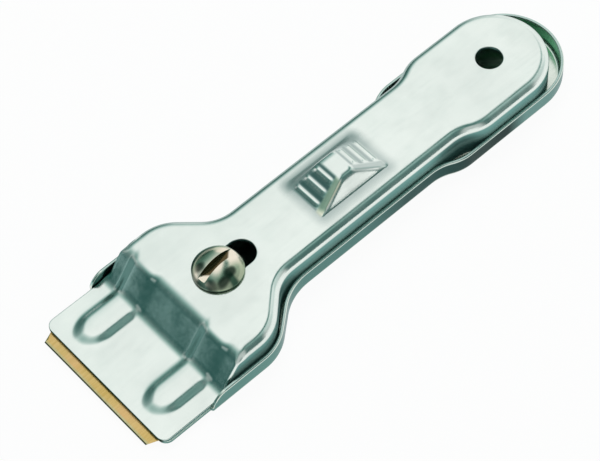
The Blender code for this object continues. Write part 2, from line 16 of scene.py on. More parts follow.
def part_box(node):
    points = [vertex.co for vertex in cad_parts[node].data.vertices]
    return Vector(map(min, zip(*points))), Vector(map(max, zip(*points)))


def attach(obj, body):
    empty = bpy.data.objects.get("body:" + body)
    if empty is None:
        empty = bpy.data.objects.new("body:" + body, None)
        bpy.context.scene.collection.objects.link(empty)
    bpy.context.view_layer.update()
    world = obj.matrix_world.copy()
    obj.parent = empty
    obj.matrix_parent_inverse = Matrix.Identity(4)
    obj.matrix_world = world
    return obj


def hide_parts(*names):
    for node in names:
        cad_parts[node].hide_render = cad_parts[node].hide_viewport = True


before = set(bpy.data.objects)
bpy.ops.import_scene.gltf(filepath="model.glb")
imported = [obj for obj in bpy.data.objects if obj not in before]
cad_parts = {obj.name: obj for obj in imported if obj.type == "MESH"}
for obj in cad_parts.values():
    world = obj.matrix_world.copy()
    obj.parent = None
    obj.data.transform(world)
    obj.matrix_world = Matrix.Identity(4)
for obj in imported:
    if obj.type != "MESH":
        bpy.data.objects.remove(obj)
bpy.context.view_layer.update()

MM = 0.001
WELD = 0.000002

# Sheet
SHEET = 0.8
LIP = 0.04
SMALL_RADIUS = 0.02
RADIUS_SHARE = 0.9
RIM_PROFILE = ((0, 0), (0.02, 0.4), (0.14, 0.76), (0.24, 0.93), (0.36, 1), (0.8, 1), (0.91, 0.93), (0.98, 0.6), (1, 0))
WALL_ROLL = 0.34
TONGUE_ROLL = 0.14

# Cover in plan
COVER_HEAD_HALF = 21.5
COVER_HANDLE_HALF = 11.3
COVER_BULB_HALF = 14.0
SHOULDER_X = 1.2
WAIST_X = -9.5
NECK_X = -69.2
BULB_X = -74.8
COVER_REAR_X = -91.5
SHOULDER_RADIUS = 12.0
WAIST_RADIUS = 10.0
BULB_RADIUS = 12.0

# Cover in height
COVER_TOP = 11.3
TONGUE_TOP = 2.5
COVER_RIM = 1.66
COVER_BEND = 2.4
STEP_BEND = 0.8
EDGE_BEND = 0.2
STEP_TOP_X = 11.6
STEP_BOTTOM_X = 18.7
STEP_SLOPE = atan2(COVER_TOP - TONGUE_TOP, STEP_BOTTOM_X - STEP_TOP_X)
STEP_TOP_FILLET = 5.0
STEP_FOOT_FILLET = 4.0
STEP_WIDENS = (TONGUE_TOP + 0.3, TONGUE_TOP + 2.5)
PLATE_BENDS = (COVER_TOP - 2.2, COVER_TOP - 0.2)
FRONT_PLATE_X = 6.0

# Tongue and beads
TONGUE_HALF = 22.0
TONGUE_FRONT_X = 36.8
TONGUE_CORNER = 2.4
BEAD_Y = 12.9
BEAD_REACH = 5.1
BEAD_FLAT = 2.5
BEAD_SOFT_REACH = 5.6
BEAD_SOFT_FLAT = 0.8
BEAD_SOFTNESS = 0.25
BEAD_RISE = 1.15
BEAD_STEP_RISE = 0.62
BEAD_NOSE_X = 27.6
BEAD_NOSE_STRETCH = 1.4
BEAD_TOP_FILLET = 3.2

# Thumb grip
GRIP_X = -38.4
GRIP_HALF_LENGTH = 10.8
GRIP_HALF_WIDTH = 6.1
GRIP_RISE = 5.0
GRIP_FLAT_HALF_LENGTH = 2.0
GRIP_FLANK_SLOPE = 2.0
GRIP_RIDGE = 1.7
GRIP_RIDGE_DROP = 0.13
GRIP_RIDGE_LIMIT = 2.5
GRIP_FLANK_ROUND = 0.9
GRIP_TOP_ROUND = 0.5
GRIP_FAR_FOOT_ROUND = 2.4
GRIP_FOOT_ROUND = 0.8
GRIP_CREASE_ROUND = 0.1
GRIP_CREASE_Y = 5.0
GRIP_BLEND_HALF = 1.0
LEAST_ROUND = 0.001
GRIP_FAR_HALF_WIDTH = 6.3
GRIP_FAR_SLOPE = 2.1
GRIP_FAR_ROUND = 1.0
RIB_PLACES = (3.95, 6.65, 9.5)
RIB_HALF_LENGTHS = (2.6, 3.1, 3.7)
RIB_FAR_REACH = 1.4
RIB_HALF_WIDTH = 0.85
RIB_RISE = 0.34
RIB_END = 1.2

# Slot and hanging holes
SLOT_HALF = 3.85
TRAVEL = 7.0
HOLE_X = -90.0
HOLE_RADIUS = 3.5
HOLE_ROLL = 0.16
PUNCH_DEPTH = 2
PUNCH_HEIGHT = 3

# Base
BASE_HEAD_HALF = 23.0
BASE_HANDLE_HALF = 12.4
BASE_BULB_HALF = 15.1
BASE_WAIST_X = -11.3
BASE_NECK_X = -60.9
BASE_BULB_X = -66.5
BASE_REAR_X = -95.5
BASE_SHOULDER_RADIUS = 13.0
BASE_WAIST_RADIUS = 15.0
BASE_WALL = 5.6
BASE_BEND = 1.5
BASE_TONGUE_HALF = 21.9
BASE_TONGUE_FRONT_X = 36.4
WALL_END_X = 17.8
WALL_END_RUN = 4.8
WALL_END_WIDENS = radians(14)
WALL_END_ROLLS = radians(40)
PIP_X = 27.5
PIP_RADIUS = 2.0
PIP_RISE = 1.6
PIP_FLAT_SHARE = 0.35
DIMPLE_RADIUS = PIP_RADIUS - SHEET * 0.6
DIMPLE_RISE = PIP_RISE - 0.1
SEAT_RADIUS = 3.6
SEAT_MOUTH = 4.3

# Blade
BLADE_BEVEL = 0.75
# The width of the painted shade along the blade's edge
BLADE_SHADED_EDGE = 0.32
BEVEL_BLEND = 0.1
# The blend of the painted shade along the blade's edge
SHADED_EDGE_BLEND = 0.05

# Screw
HEAD_BOTTOM = 11.6
HEAD_RADIUS = 6.4
HEAD_RIM = 0.6
HEAD_DOME = 3.0
HEAD_EDGE = 0.12
COIN_SLOT_HALF = 1.1
COIN_SLOT_DEPTH = 2.1
COIN_SLOT_ANGLE = radians(4)
COIN_SLOT_ROUND = ((0, 0.12), (0.04, 0.04), (0.12, 0))
COIN_SLOT_PAST = 2
DOME_TOP = HEAD_BOTTOM + HEAD_RIM + HEAD_DOME
COIN_SLOT_FLOOR = DOME_TOP - COIN_SLOT_DEPTH
SCREW_SHOULDER_RADIUS = 3.7
SHANK_RADIUS = 2.5
SHANK_CHAMFER = 0.4
SHANK_TIP = 2.6
SHOULDER_FOOT = 6.2

# Grids: steps, spacings and margins
WALL_STEPS = 5
BEND_STEPS = 9
TAIL_STEPS = 36
CORNER_STEPS = 12
TONGUE_STEPS = 43
STEP_FOOT_STEPS = 9
STEP_FACE_STEPS = 21
STEP_TOP_STEPS = 12
FRONT_PLATE_STEPS = 9
WALL_END_STEPS = 25
ARC_STEPS = (16, 12, 10, 10)
HANDLE_CORNER = 3
SIDE_SPACING = 1.3
LEAST_SPACING = 0.05
GRIP_SPACING = 0.24
GRIP_MARGIN = 1.6
INNER_COLUMNS = 12
BEAD_COLUMNS = 28
OUTER_COLUMNS = 4
BEAD_MARGIN = 0.3
HOLE_STEPS = 48
HOLE_ROLL_STEPS = 4
HEAD_EDGE_STEPS = 4
DOME_STEPS = 18
SCREW_STEPS = 128
SEAT_STEPS = 96

# Painted dark reflections on the screw's dome: place, reach along both axes, and strength
SCREW_DARK_REFLECTIONS = (
    (-0.6, 3.7, 2.2, 1.4, 0.93), (1.9, 4.5, 2.4, 1.2, 0.9), (4.7, 3.4, 1.5, 2.0, 0.7),
    (3.6, -2.2, 1.9, 1.6, 0.88), (0.3, -5.1, 4.8, 1.8, 0.62),
)

low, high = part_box("clamp_screw")
SCREW_X = (low[0] + high[0]) / 2


def placed(points):
    """Millimetres from the screw's axis, turned into metres in the frame."""
    return np.asarray(points, float) * MM + (SCREW_X, 0, 0)


def smooth_step(value, low_end, high_end):
    """0 below the low end, 1 above the high end, and an S between."""
    share = np.clip((value - low_end) / (high_end - low_end), 0, 1)
    return share * share * (3 - 2 * share)


def smooth_least(first, second, blend):
    """The lesser of two heights, with the crease between them rounded."""
    share = np.clip(0.5 + (second - first) / (2 * blend), 0, 1)
    return second + (first - second) * share - blend * share * (1 - share)


def smooth_most(first, second, blend):
    """The greater of two heights, with the valley between them filled."""
    return -smooth_least(-first, -second, blend)


def mesh_piece(name, points, faces, weld=False):
    """A mesh object in the frame from points in millimetres, with its faces turned outwards."""
    mesh = bpy.data.meshes.new(name)
    mesh.from_pydata(placed(points).tolist(), [], faces)
    shape = bmesh.new()
    shape.from_mesh(mesh)
    if weld:
        bmesh.ops.remove_doubles(shape, verts=shape.verts, dist=WELD)
        bmesh.ops.dissolve_degenerate(shape, edges=shape.edges, dist=WELD)
    bmesh.ops.recalc_face_normals(shape, faces=shape.faces)
    shape.to_mesh(mesh)
    shape.free()
    piece = bpy.data.objects.new(name, mesh)
    bpy.context.scene.collection.objects.link(piece)
    return piece


class Skin:
    """Patches of quads that share their edges and are welded into one closed sheet."""

    def __init__(self):
        self.points = []
        self.faces = []

    def patch(self, rows):
        """Adds a grid of points, given as rows of equal length."""
        rows = np.asarray(rows, float)
        first = len(self.points)
        across = rows.shape[1]
        self.points.extend(rows.reshape(-1, 3).tolist())
        for row in range(rows.shape[0] - 1):
            start = first + row * across
            for step in range(across - 1):
                here = start + step
                self.faces.append((here, here + 1, here + 1 + across, here + across))


class Row:
    """One line across a shell, given by its right edge.

    The edge has a place and an outward normal in plan, the plate's level and lean there, the bend's
    radius, the rim's level, the place of a bead's crown if there is one, and the roll of the rim's edge.
    """

    def __init__(
        self, x, y, out_x, out_y, level, lean=0.0, bend=COVER_BEND, rim=COVER_RIM, crown=None, roll=TONGUE_ROLL
    ):
        self.edge = np.array((x, y, level))
        self.out = np.array((out_x, out_y, 0.0))
        self.up = np.array((sin(lean), 0.0, cos(lean)))
        self.bend = bend
        self.rim = rim
        self.crown = crown
        self.roll = roll

    def side(self, depth):
        """Points of the right-hand wall and bend, from the rim to the plate, at a depth in the sheet."""
        room = abs(self.edge[2] - depth * self.up[2] - self.rim)
        radius = max(min(self.bend - depth, room * RADIUS_SHARE), SMALL_RADIUS)
        centre = self.edge - (self.up + self.out) * (depth + radius)
        foot = centre + self.out * radius
        points = []
        for step in range(WALL_STEPS):
            level = self.rim + (foot[2] - self.rim) * step / WALL_STEPS
            points.append((foot[0], foot[1], level))
        for step in range(BEND_STEPS + 1):
            angle = pi / 2 * step / BEND_STEPS
            points.append(tuple(centre + (self.out * cos(angle) + self.up * sin(angle)) * radius))
        return np.array(points)


def column_shares():
    """Places of the lines along the shell, as shares of the plate's half width, close over the beads."""
    plate_half = COVER_HEAD_HALF - COVER_BEND
    inner = BEAD_Y - BEAD_REACH - BEAD_MARGIN
    outer = BEAD_Y + BEAD_REACH + BEAD_MARGIN
    places = list(np.linspace(0, inner, INNER_COLUMNS + 1)[:-1])
    places += list(np.linspace(inner, outer, BEAD_COLUMNS + 1)[:-1])
    places += list(np.linspace(outer, plate_half, OUTER_COLUMNS))
    shares = np.array(places) / plate_half
    return np.concatenate((-shares[:0:-1], shares))


COLUMN_SHARES = column_shares()


def fillet_arc(before, corner, after, radius, steps):
    """Points and outward normals of the arc that rounds a corner of a side seen in plan."""
    inward = (Vector(corner) - Vector(before)).normalized()
    outward = (Vector(after) - Vector(corner)).normalized()
    bulge = 1 if inward.cross(outward) > 0 else -1
    turn = inward.angle(outward)
    start = Vector(corner) - inward * radius * tan(turn / 2)
    centre = start - Vector((inward.y, -inward.x)) * radius * bulge
    arc = []
    for step in range(steps + 1):
        heading = Matrix.Rotation(bulge * turn * step / steps, 2) @ inward
        normal = Vector((heading.y, -heading.x))
        arc.append((*(centre + normal * radius * bulge), *normal))
    return arc


def between(first, last, spacing, close=None):
    """Points of a straight side between two others, at a spacing, or closer over a stretch of x."""
    start, end = np.array(first), np.array(last)
    if close is None:
        steps = max(int(hypot(*(end - start)[:2]) / spacing + 0.5), 1)
        shares = np.arange(1, steps) / steps
    else:
        rear, front, fine = close
        ahead = np.arange(start[0] - spacing, front, -spacing)
        tight = np.arange(front, rear, -fine)
        behind = np.arange(rear, end[0] + spacing / 2, -spacing)
        shares = (start[0] - np.concatenate((ahead, tight, behind))) / (start[0] - end[0])
    return [tuple(start + (end - start) * share) for share in shares]


def plan_side(corners, rear_x, front_x, close=None):
    """A shell's right side in plan from the head back to the tail's tip: places and outward normals."""
    ends = [(front_x, corners[0][1])] + [corner[:2] for corner in corners] + [(rear_x, corners[-1][1])]
    side = [(front_x, corners[0][1], 0.0, 1.0)]
    for place, ((_, _, radius), steps) in enumerate(zip(corners, ARC_STEPS), start=1):
        arc = fillet_arc(ends[place - 1], ends[place], ends[place + 1], radius, steps)
        side += between(side[-1], arc[0], SIDE_SPACING, close if place == HANDLE_CORNER else None)
        if hypot(arc[0][0] - side[-1][0], arc[0][1] - side[-1][1]) > LEAST_SPACING:
            side.append(arc[0])
        side += arc[1:]
    tail = corners[-1][1]
    side += between(side[-1], (rear_x, tail, 0.0, 1.0), SIDE_SPACING)
    for step in range(TAIL_STEPS + 1):
        angle = pi / 2 * (1 + step / TAIL_STEPS)
        side.append((rear_x + tail * cos(angle), tail * sin(angle), cos(angle), sin(angle)))
    return side


def tongue_corner(front_x, half, level, **shape):
    """The rows round the corner of a tongue, from its front edge to its side."""
    rows = []
    for step in range(CORNER_STEPS):
        angle = pi / 2 * (1 - step / CORNER_STEPS)
        out = (sin(angle), cos(angle))
        x, y = (edge - TONGUE_CORNER + TONGUE_CORNER * share for edge, share in zip((front_x, half), out))
        rows.append(Row(x, y, *out, level, **shape))
    return rows


def climb(tongue, foot_x, top_x, top_fillet):
    """The line from the tongue up the step to the plate: x, level and lean of each row."""
    foot_run, top_run = (fillet * tan(STEP_SLOPE / 2) for fillet in (STEP_FOOT_FILLET, top_fillet))
    foot_start = foot_x + foot_run
    top_end = top_x - top_run
    line = [(x, tongue, 0.0) for x in np.linspace(TONGUE_FRONT_X - TONGUE_CORNER, foot_start, TONGUE_STEPS + 1)]
    foot_centre = tongue + STEP_FOOT_FILLET
    for lean in np.linspace(0, STEP_SLOPE, STEP_FOOT_STEPS + 1)[1:]:
        line.append((foot_start - STEP_FOOT_FILLET * sin(lean), foot_centre - STEP_FOOT_FILLET * cos(lean), lean))
    start = line[-1]
    end = (top_x + top_run * cos(STEP_SLOPE), COVER_TOP - top_run * sin(STEP_SLOPE))
    for share in np.linspace(0, 1, STEP_FACE_STEPS + 1)[1:]:
        x, level = (start[axis] + (end[axis] - start[axis]) * share for axis in (0, 1))
        line.append((x, level, STEP_SLOPE))
    top_centre = COVER_TOP - top_fillet
    for lean in np.linspace(STEP_SLOPE, 0, STEP_TOP_STEPS + 1)[1:]:
        line.append((top_end + top_fillet * sin(lean), top_centre + top_fillet * cos(lean), lean))
    line += [(x, COVER_TOP, 0.0) for x in np.linspace(top_end, FRONT_PLATE_X, FRONT_PLATE_STEPS + 1)[1:]]
    return line


def cover_rows():
    """Every row of the cover, from the tongue's front edge to the tail's tip."""
    rows = tongue_corner(TONGUE_FRONT_X, TONGUE_HALF, TONGUE_TOP, bend=EDGE_BEND)
    line = climb(TONGUE_TOP, STEP_BOTTOM_X, STEP_TOP_X, STEP_TOP_FILLET)
    ahead = BEAD_STEP_RISE / sin(STEP_SLOPE)
    crown_foot = STEP_BOTTOM_X - BEAD_RISE / tan(STEP_SLOPE) + ahead
    crown = climb(TONGUE_TOP + BEAD_RISE, crown_foot, STEP_TOP_X + ahead, BEAD_TOP_FILLET)
    for (x, level, lean), (crown_x, crown_level, _) in zip(line, crown):
        to_step = float(smooth_step(level, *STEP_WIDENS))
        to_plate = float(smooth_step(level, *PLATE_BENDS))
        half = TONGUE_HALF + (COVER_HEAD_HALF - TONGUE_HALF) * to_step
        bend = EDGE_BEND + (STEP_BEND - EDGE_BEND) * to_step + (COVER_BEND - STEP_BEND) * to_plate
        rows.append(Row(x, half, 0, 1, level, lean, bend, crown=(crown_x, crown_level)))
    corners = (
        (SHOULDER_X, COVER_HEAD_HALF, SHOULDER_RADIUS),
        (WAIST_X, COVER_HANDLE_HALF, WAIST_RADIUS),
        (NECK_X, COVER_HANDLE_HALF, BULB_RADIUS),
        (BULB_X, COVER_BULB_HALF, BULB_RADIUS),
    )
    grip_reach = GRIP_HALF_LENGTH + GRIP_MARGIN
    close = (GRIP_X - grip_reach, GRIP_X + grip_reach, GRIP_SPACING)
    for x, y, out_x, out_y in plan_side(corners, COVER_REAR_X, FRONT_PLATE_X, close)[2:]:
        rows.append(Row(x, y, out_x, out_y, COVER_TOP))
    return rows


def bead_weight(x, y):
    """How far a point of the front is raised towards the beads' crown."""
    away = np.hypot(np.maximum(x - BEAD_NOSE_X, 0) / BEAD_NOSE_STRETCH, np.abs(y) - BEAD_Y)
    firm = 1 - smooth_step(away, BEAD_FLAT, BEAD_REACH)
    soft = 1 - smooth_step(away, BEAD_SOFT_FLAT, BEAD_SOFT_REACH)
    return firm + (soft - firm) * BEAD_SOFTNESS


def ribs(along, y):
    """The three ribs that lie across each flight, longer on the far side."""
    height = np.zeros_like(along)
    for place, half_length in zip(RIB_PLACES, RIB_HALF_LENGTHS):
        bump = np.cos(np.clip(np.abs(along - place) / RIB_HALF_WIDTH, 0, 1) * pi / 2) ** 2
        reach = half_length + RIB_FAR_REACH * (y < 0)
        height = height + RIB_RISE * bump * (1 - smooth_step(np.abs(y), reach - RIB_END, reach))
    return height


def grip_height(x, y, with_ribs):
    """Height of the thumb grip over the plate."""
    along, across = np.abs(x - GRIP_X), np.abs(y)
    flight = GRIP_RISE * (GRIP_HALF_LENGTH - along) / (GRIP_HALF_LENGTH - GRIP_FLAT_HALF_LENGTH)
    flight = smooth_least(flight, np.full_like(flight, GRIP_RISE), GRIP_TOP_ROUND)
    near = smooth_step(y, -GRIP_BLEND_HALF, GRIP_BLEND_HALF)
    slope = GRIP_FAR_SLOPE + (GRIP_FLANK_SLOPE - GRIP_FAR_SLOPE) * near
    flank = slope * (GRIP_FAR_HALF_WIDTH + (GRIP_HALF_WIDTH - GRIP_FAR_HALF_WIDTH) * near - across)
    ridge = np.maximum(GRIP_RIDGE - (flank - flight) / slope, 0)
    capped = flight - GRIP_RIDGE_DROP * np.minimum(ridge, GRIP_RIDGE_LIMIT) ** 2
    if with_ribs:
        capped = capped + ribs(along, y)
    level = np.zeros_like(flank)
    foot = GRIP_FAR_FOOT_ROUND + (GRIP_CREASE_ROUND - GRIP_FAR_FOOT_ROUND) * smooth_step(y, 0, GRIP_CREASE_Y)
    side = smooth_most(flank, level, foot)
    end = smooth_most(capped, level, GRIP_FOOT_ROUND)
    fold = GRIP_FAR_ROUND + (GRIP_FLANK_ROUND - GRIP_FAR_ROUND) * near
    return smooth_least(end, side, np.minimum(fold, np.minimum(end, side)) + LEAST_ROUND)


def cover_shape(row, depth, x, y, z):
    """The plate's points raised into the beads or the thumb grip."""
    if row.crown is None:
        return x, z + grip_height(x, y, depth == 0)
    weight = bead_weight(row.edge[0], y)
    crown_x = row.crown[0] - row.up[0] * depth
    crown_z = row.crown[1] - row.up[2] * depth
    return x + (crown_x - x) * weight, z + (crown_z - z) * weight


def base_shape(row, depth, x, y, z):
    """The tray's points raised into the two pips, or into the dimples under them."""
    radius, rise = (PIP_RADIUS, PIP_RISE) if depth else (DIMPLE_RADIUS, DIMPLE_RISE)
    away = np.hypot(x - PIP_X, np.abs(y) - BEAD_Y)
    return x, z + rise * (1 - smooth_step(away, radius * PIP_FLAT_SHARE, radius))


def surface(rows, depth, shape):
    """The grid of one face of a shell, at a depth in the sheet."""
    grid = []
    for row in rows:
        side = row.side(depth)
        y = COLUMN_SHARES * side[-1][1]
        x, z = shape(row, depth, np.full_like(y, side[-1][0]), y, np.full_like(y, side[-1][2]))
        plate = np.stack((x, y, z), 1)
        grid.append(np.concatenate((side[:-1] * (1, -1, 1), plate, side[:-1][::-1])))
    return np.array(grid)


def front_surface(row, depth):
    """The edge face along a tongue's front, which closes one face of the sheet."""
    return np.array([[(x, share * y, z) for share in COLUMN_SHARES] for x, y, z in row.side(depth)])


def rim_rows(outer, inner, rolls):
    """The rolled edge between the two faces of the sheet, along matching lines of points."""
    rolls = np.array([(0, 0, roll) for roll in rolls])
    return [outer + (inner - outer) * share + rolls * rise for share, rise in RIM_PROFILE]


def pressing(name, rows, shape):
    """A shell as one closed piece: the two faces of its sheet, its front edge and its rim."""
    outer, inner = (surface(rows, depth, shape) for depth in (0, SHEET))
    outer_front, inner_front = (front_surface(rows[0], depth) for depth in (0, SHEET))
    skin = Skin()
    for grid in (outer, inner, outer_front, inner_front):
        skin.patch(grid)
    rolls = [-row.up[2] / abs(row.up[2]) * row.roll for row in rows]
    for column in (0, -1):
        skin.patch(rim_rows(outer[:, column], inner[:, column], rolls))
    skin.patch(rim_rows(outer_front[0], inner_front[0], rolls[:1] * outer_front.shape[1]))
    return mesh_piece(name, skin.points, skin.faces, weld=True)


def turned(name, profile, steps):
    """A solid turned about an upright axis from a closed profile of (radius, height)."""
    points, faces, first = [], [], []
    for radius, height in profile:
        first.append(len(points))
        for step in range(steps if radius > 0 else 1):
            angle = 2 * pi * step / steps
            points.append((radius * cos(angle), radius * sin(angle), height))
    for place, (radius, _) in enumerate(profile):
        after = (place + 1) % len(profile)
        rise = profile[after][0]
        for step in range(steps):
            beside = (step + 1) % steps
            here, there = first[place], first[after]
            if radius > 0 and rise > 0:
                faces.append((here + step, here + beside, there + beside, there + step))
            elif radius > 0:
                faces.append((here + step, here + beside, there))
            elif rise > 0:
                faces.append((here, there + step, there + beside))
    return mesh_piece(name, points, faces)


def cut(piece, cutter):
    """Cuts a solid out of a piece, and removes the solid."""
    boolean = piece.modifiers.new("Cut", "BOOLEAN")
    boolean.operation = "DIFFERENCE"
    boolean.solver = "EXACT"
    boolean.object = cutter
    bpy.context.view_layer.update()
    shown = piece.evaluated_get(bpy.context.evaluated_depsgraph_get())
    mesh = bpy.data.meshes.new_from_object(shown)
    piece.modifiers.clear()
    piece.data = mesh
    bpy.data.objects.remove(cutter, do_unlink=True)


def stacked(name, rings, weld=False):
    """A closed solid through rings of as many points each."""
    count = len(rings[0])
    points = [point for ring in rings for point in ring]
    faces = [tuple(range(count)), tuple((len(rings) - 1) * count + step for step in range(count))]
    for level in range(len(rings) - 1):
        for step in range(count):
            here = level * count + step
            beside = level * count + (step + 1) % count
            faces.append((here, beside, beside + count, here + count))
    return mesh_piece(name, points, faces, weld)


def oblong(front_x, rear_x, radius, level):
    """An oblong ring in plan."""
    ring = []
    for x, first in ((front_x, -pi / 2), (rear_x, pi / 2)):
        for step in range(HOLE_STEPS + 1):
            angle = first + pi * step / HOLE_STEPS
            ring.append((x + radius * cos(angle), radius * sin(angle), level))
    return ring


def punch(front_x, rear_x, radius, top, bottom):
    """A punch with a flared collar, so that the upper edge of the hole is rolled over."""
    rings = [oblong(front_x, rear_x, radius, bottom)]
    for step in range(HOLE_ROLL_STEPS + 1):
        angle = pi / 2 * step / HOLE_ROLL_STEPS
        reach = radius + HOLE_ROLL * (1 - cos(angle))
        rings.append(oblong(front_x, rear_x, reach, top + HOLE_ROLL * (sin(angle) - 1)))
    rings.append(oblong(front_x, rear_x, radius + HOLE_ROLL, top + PUNCH_HEIGHT))
    return stacked("punch", rings, weld=True)


def make_cover():
    """The sliding cover."""
    cover = pressing("cover_pressing", cover_rows(), cover_shape)
    bottom = COVER_TOP - SHEET - PUNCH_DEPTH
    cut(cover, punch(0, -TRAVEL, SLOT_HALF, COVER_TOP, bottom))
    cut(cover, punch(HOLE_X, HOLE_X, HOLE_RADIUS, COVER_TOP, bottom))
    return cover


def base_rows():
    """Every row of the base, from its tongue's front edge to the tail's tip, seen upside down."""
    thin = dict(lean=pi, bend=EDGE_BEND, rim=SHEET + LIP)
    rows = tongue_corner(BASE_TONGUE_FRONT_X, BASE_TONGUE_HALF, 0.0, **thin)
    end_angle = np.arccos((SHEET + LIP) / (BASE_WALL - TONGUE_ROLL))
    end_x = WALL_END_X + WALL_END_RUN * sin(end_angle)
    for x in np.linspace(BASE_TONGUE_FRONT_X - TONGUE_CORNER, end_x, TONGUE_STEPS + 1):
        rows.append(Row(x, BASE_TONGUE_HALF, 0, 1, 0.0, **thin))
    for angle in np.linspace(end_angle, 0, WALL_END_STEPS + 1)[1:]:
        x = WALL_END_X + WALL_END_RUN * sin(angle)
        widen, thicken = (
            float(smooth_step(end_angle - angle, 0, reach)) for reach in (WALL_END_WIDENS, WALL_END_ROLLS)
        )
        half = BASE_TONGUE_HALF + (BASE_HEAD_HALF - BASE_TONGUE_HALF) * widen
        bend = EDGE_BEND + (BASE_BEND - EDGE_BEND) * widen
        roll = TONGUE_ROLL + (WALL_ROLL - TONGUE_ROLL) * thicken
        level = max((BASE_WALL - roll) * cos(angle), SHEET + LIP)
        rows.append(Row(x, half, 0, 1, 0.0, pi, bend, level, roll=roll))
    corners = (
        (SHOULDER_X, BASE_HEAD_HALF, BASE_SHOULDER_RADIUS),
        (BASE_WAIST_X, BASE_HANDLE_HALF, BASE_WAIST_RADIUS),
        (BASE_NECK_X, BASE_HANDLE_HALF, BULB_RADIUS),
        (BASE_BULB_X, BASE_BULB_HALF, BULB_RADIUS),
    )
    for x, y, out_x, out_y in plan_side(corners, BASE_REAR_X, WALL_END_X)[1:]:
        rows.append(Row(x, y, out_x, out_y, 0.0, pi, BASE_BEND, BASE_WALL - WALL_ROLL, roll=WALL_ROLL))
    return rows


def make_base():
    """The tray under the cover."""
    base = pressing("base_pressing", base_rows(), base_shape)
    hole_x = HOLE_X + TRAVEL
    cut(base, punch(hole_x, hole_x, HOLE_RADIUS, SHEET, -PUNCH_DEPTH))
    top = SHEET + PUNCH_DEPTH
    seat = [(0, -PUNCH_DEPTH), (SEAT_MOUTH, -PUNCH_DEPTH), (SEAT_MOUTH, 0)]
    seat += [(SEAT_RADIUS, SHEET), (SEAT_RADIUS, top), (0, top)]
    cut(base, turned("seat", seat, SEAT_STEPS))
    return base


def screw_profile():
    """Half the screw's section, from its tip over the shank, the shoulder and the head to the dome's middle."""
    rim_top = HEAD_BOTTOM + HEAD_RIM
    dome_radius = (HEAD_RADIUS**2 + HEAD_DOME**2) / (2 * HEAD_DOME)
    spread = atan2(HEAD_RADIUS, dome_radius - HEAD_DOME)
    profile = [(0, SHANK_TIP), (SHANK_RADIUS - SHANK_CHAMFER, SHANK_TIP), (SHANK_RADIUS, SHANK_TIP + SHANK_CHAMFER)]
    profile += [(SHANK_RADIUS, SHOULDER_FOOT), (SCREW_SHOULDER_RADIUS, SHOULDER_FOOT)]
    profile += [(SCREW_SHOULDER_RADIUS, HEAD_BOTTOM), (HEAD_RADIUS - HEAD_EDGE, HEAD_BOTTOM)]
    profile += [(HEAD_RADIUS, HEAD_BOTTOM + HEAD_EDGE), (HEAD_RADIUS, rim_top - HEAD_EDGE)]
    for step in range(1, HEAD_EDGE_STEPS + 1):
        angle = (pi / 2 - spread) * step / HEAD_EDGE_STEPS
        profile.append((HEAD_RADIUS - HEAD_EDGE * (1 - cos(angle)), rim_top - HEAD_EDGE * (1 - sin(angle))))
    for step in range(2, DOME_STEPS + 1):
        angle = spread * (1 - step / DOME_STEPS)
        radius = dome_radius * sin(angle) if step < DOME_STEPS else 0
        profile.append((radius, rim_top + HEAD_DOME - dome_radius * (1 - cos(angle))))
    return profile


def make_screw():
    """The coin-slotted screw."""
    screw = turned("coin_screw", screw_profile(), SCREW_STEPS)
    section = [(COIN_SLOT_HALF, DOME_TOP + COIN_SLOT_PAST)]
    section += [(COIN_SLOT_HALF - inset, COIN_SLOT_FLOOR + rise) for inset, rise in COIN_SLOT_ROUND]
    section += [(-y, z) for y, z in reversed(section)]
    past = HEAD_RADIUS + COIN_SLOT_PAST
    turn = Matrix.Rotation(COIN_SLOT_ANGLE, 3, "Z")
    cut(screw, stacked("coin_slot", [[tuple(turn @ Vector((x, y, z))) for y, z in section] for x in (past, -past)]))
    return screw


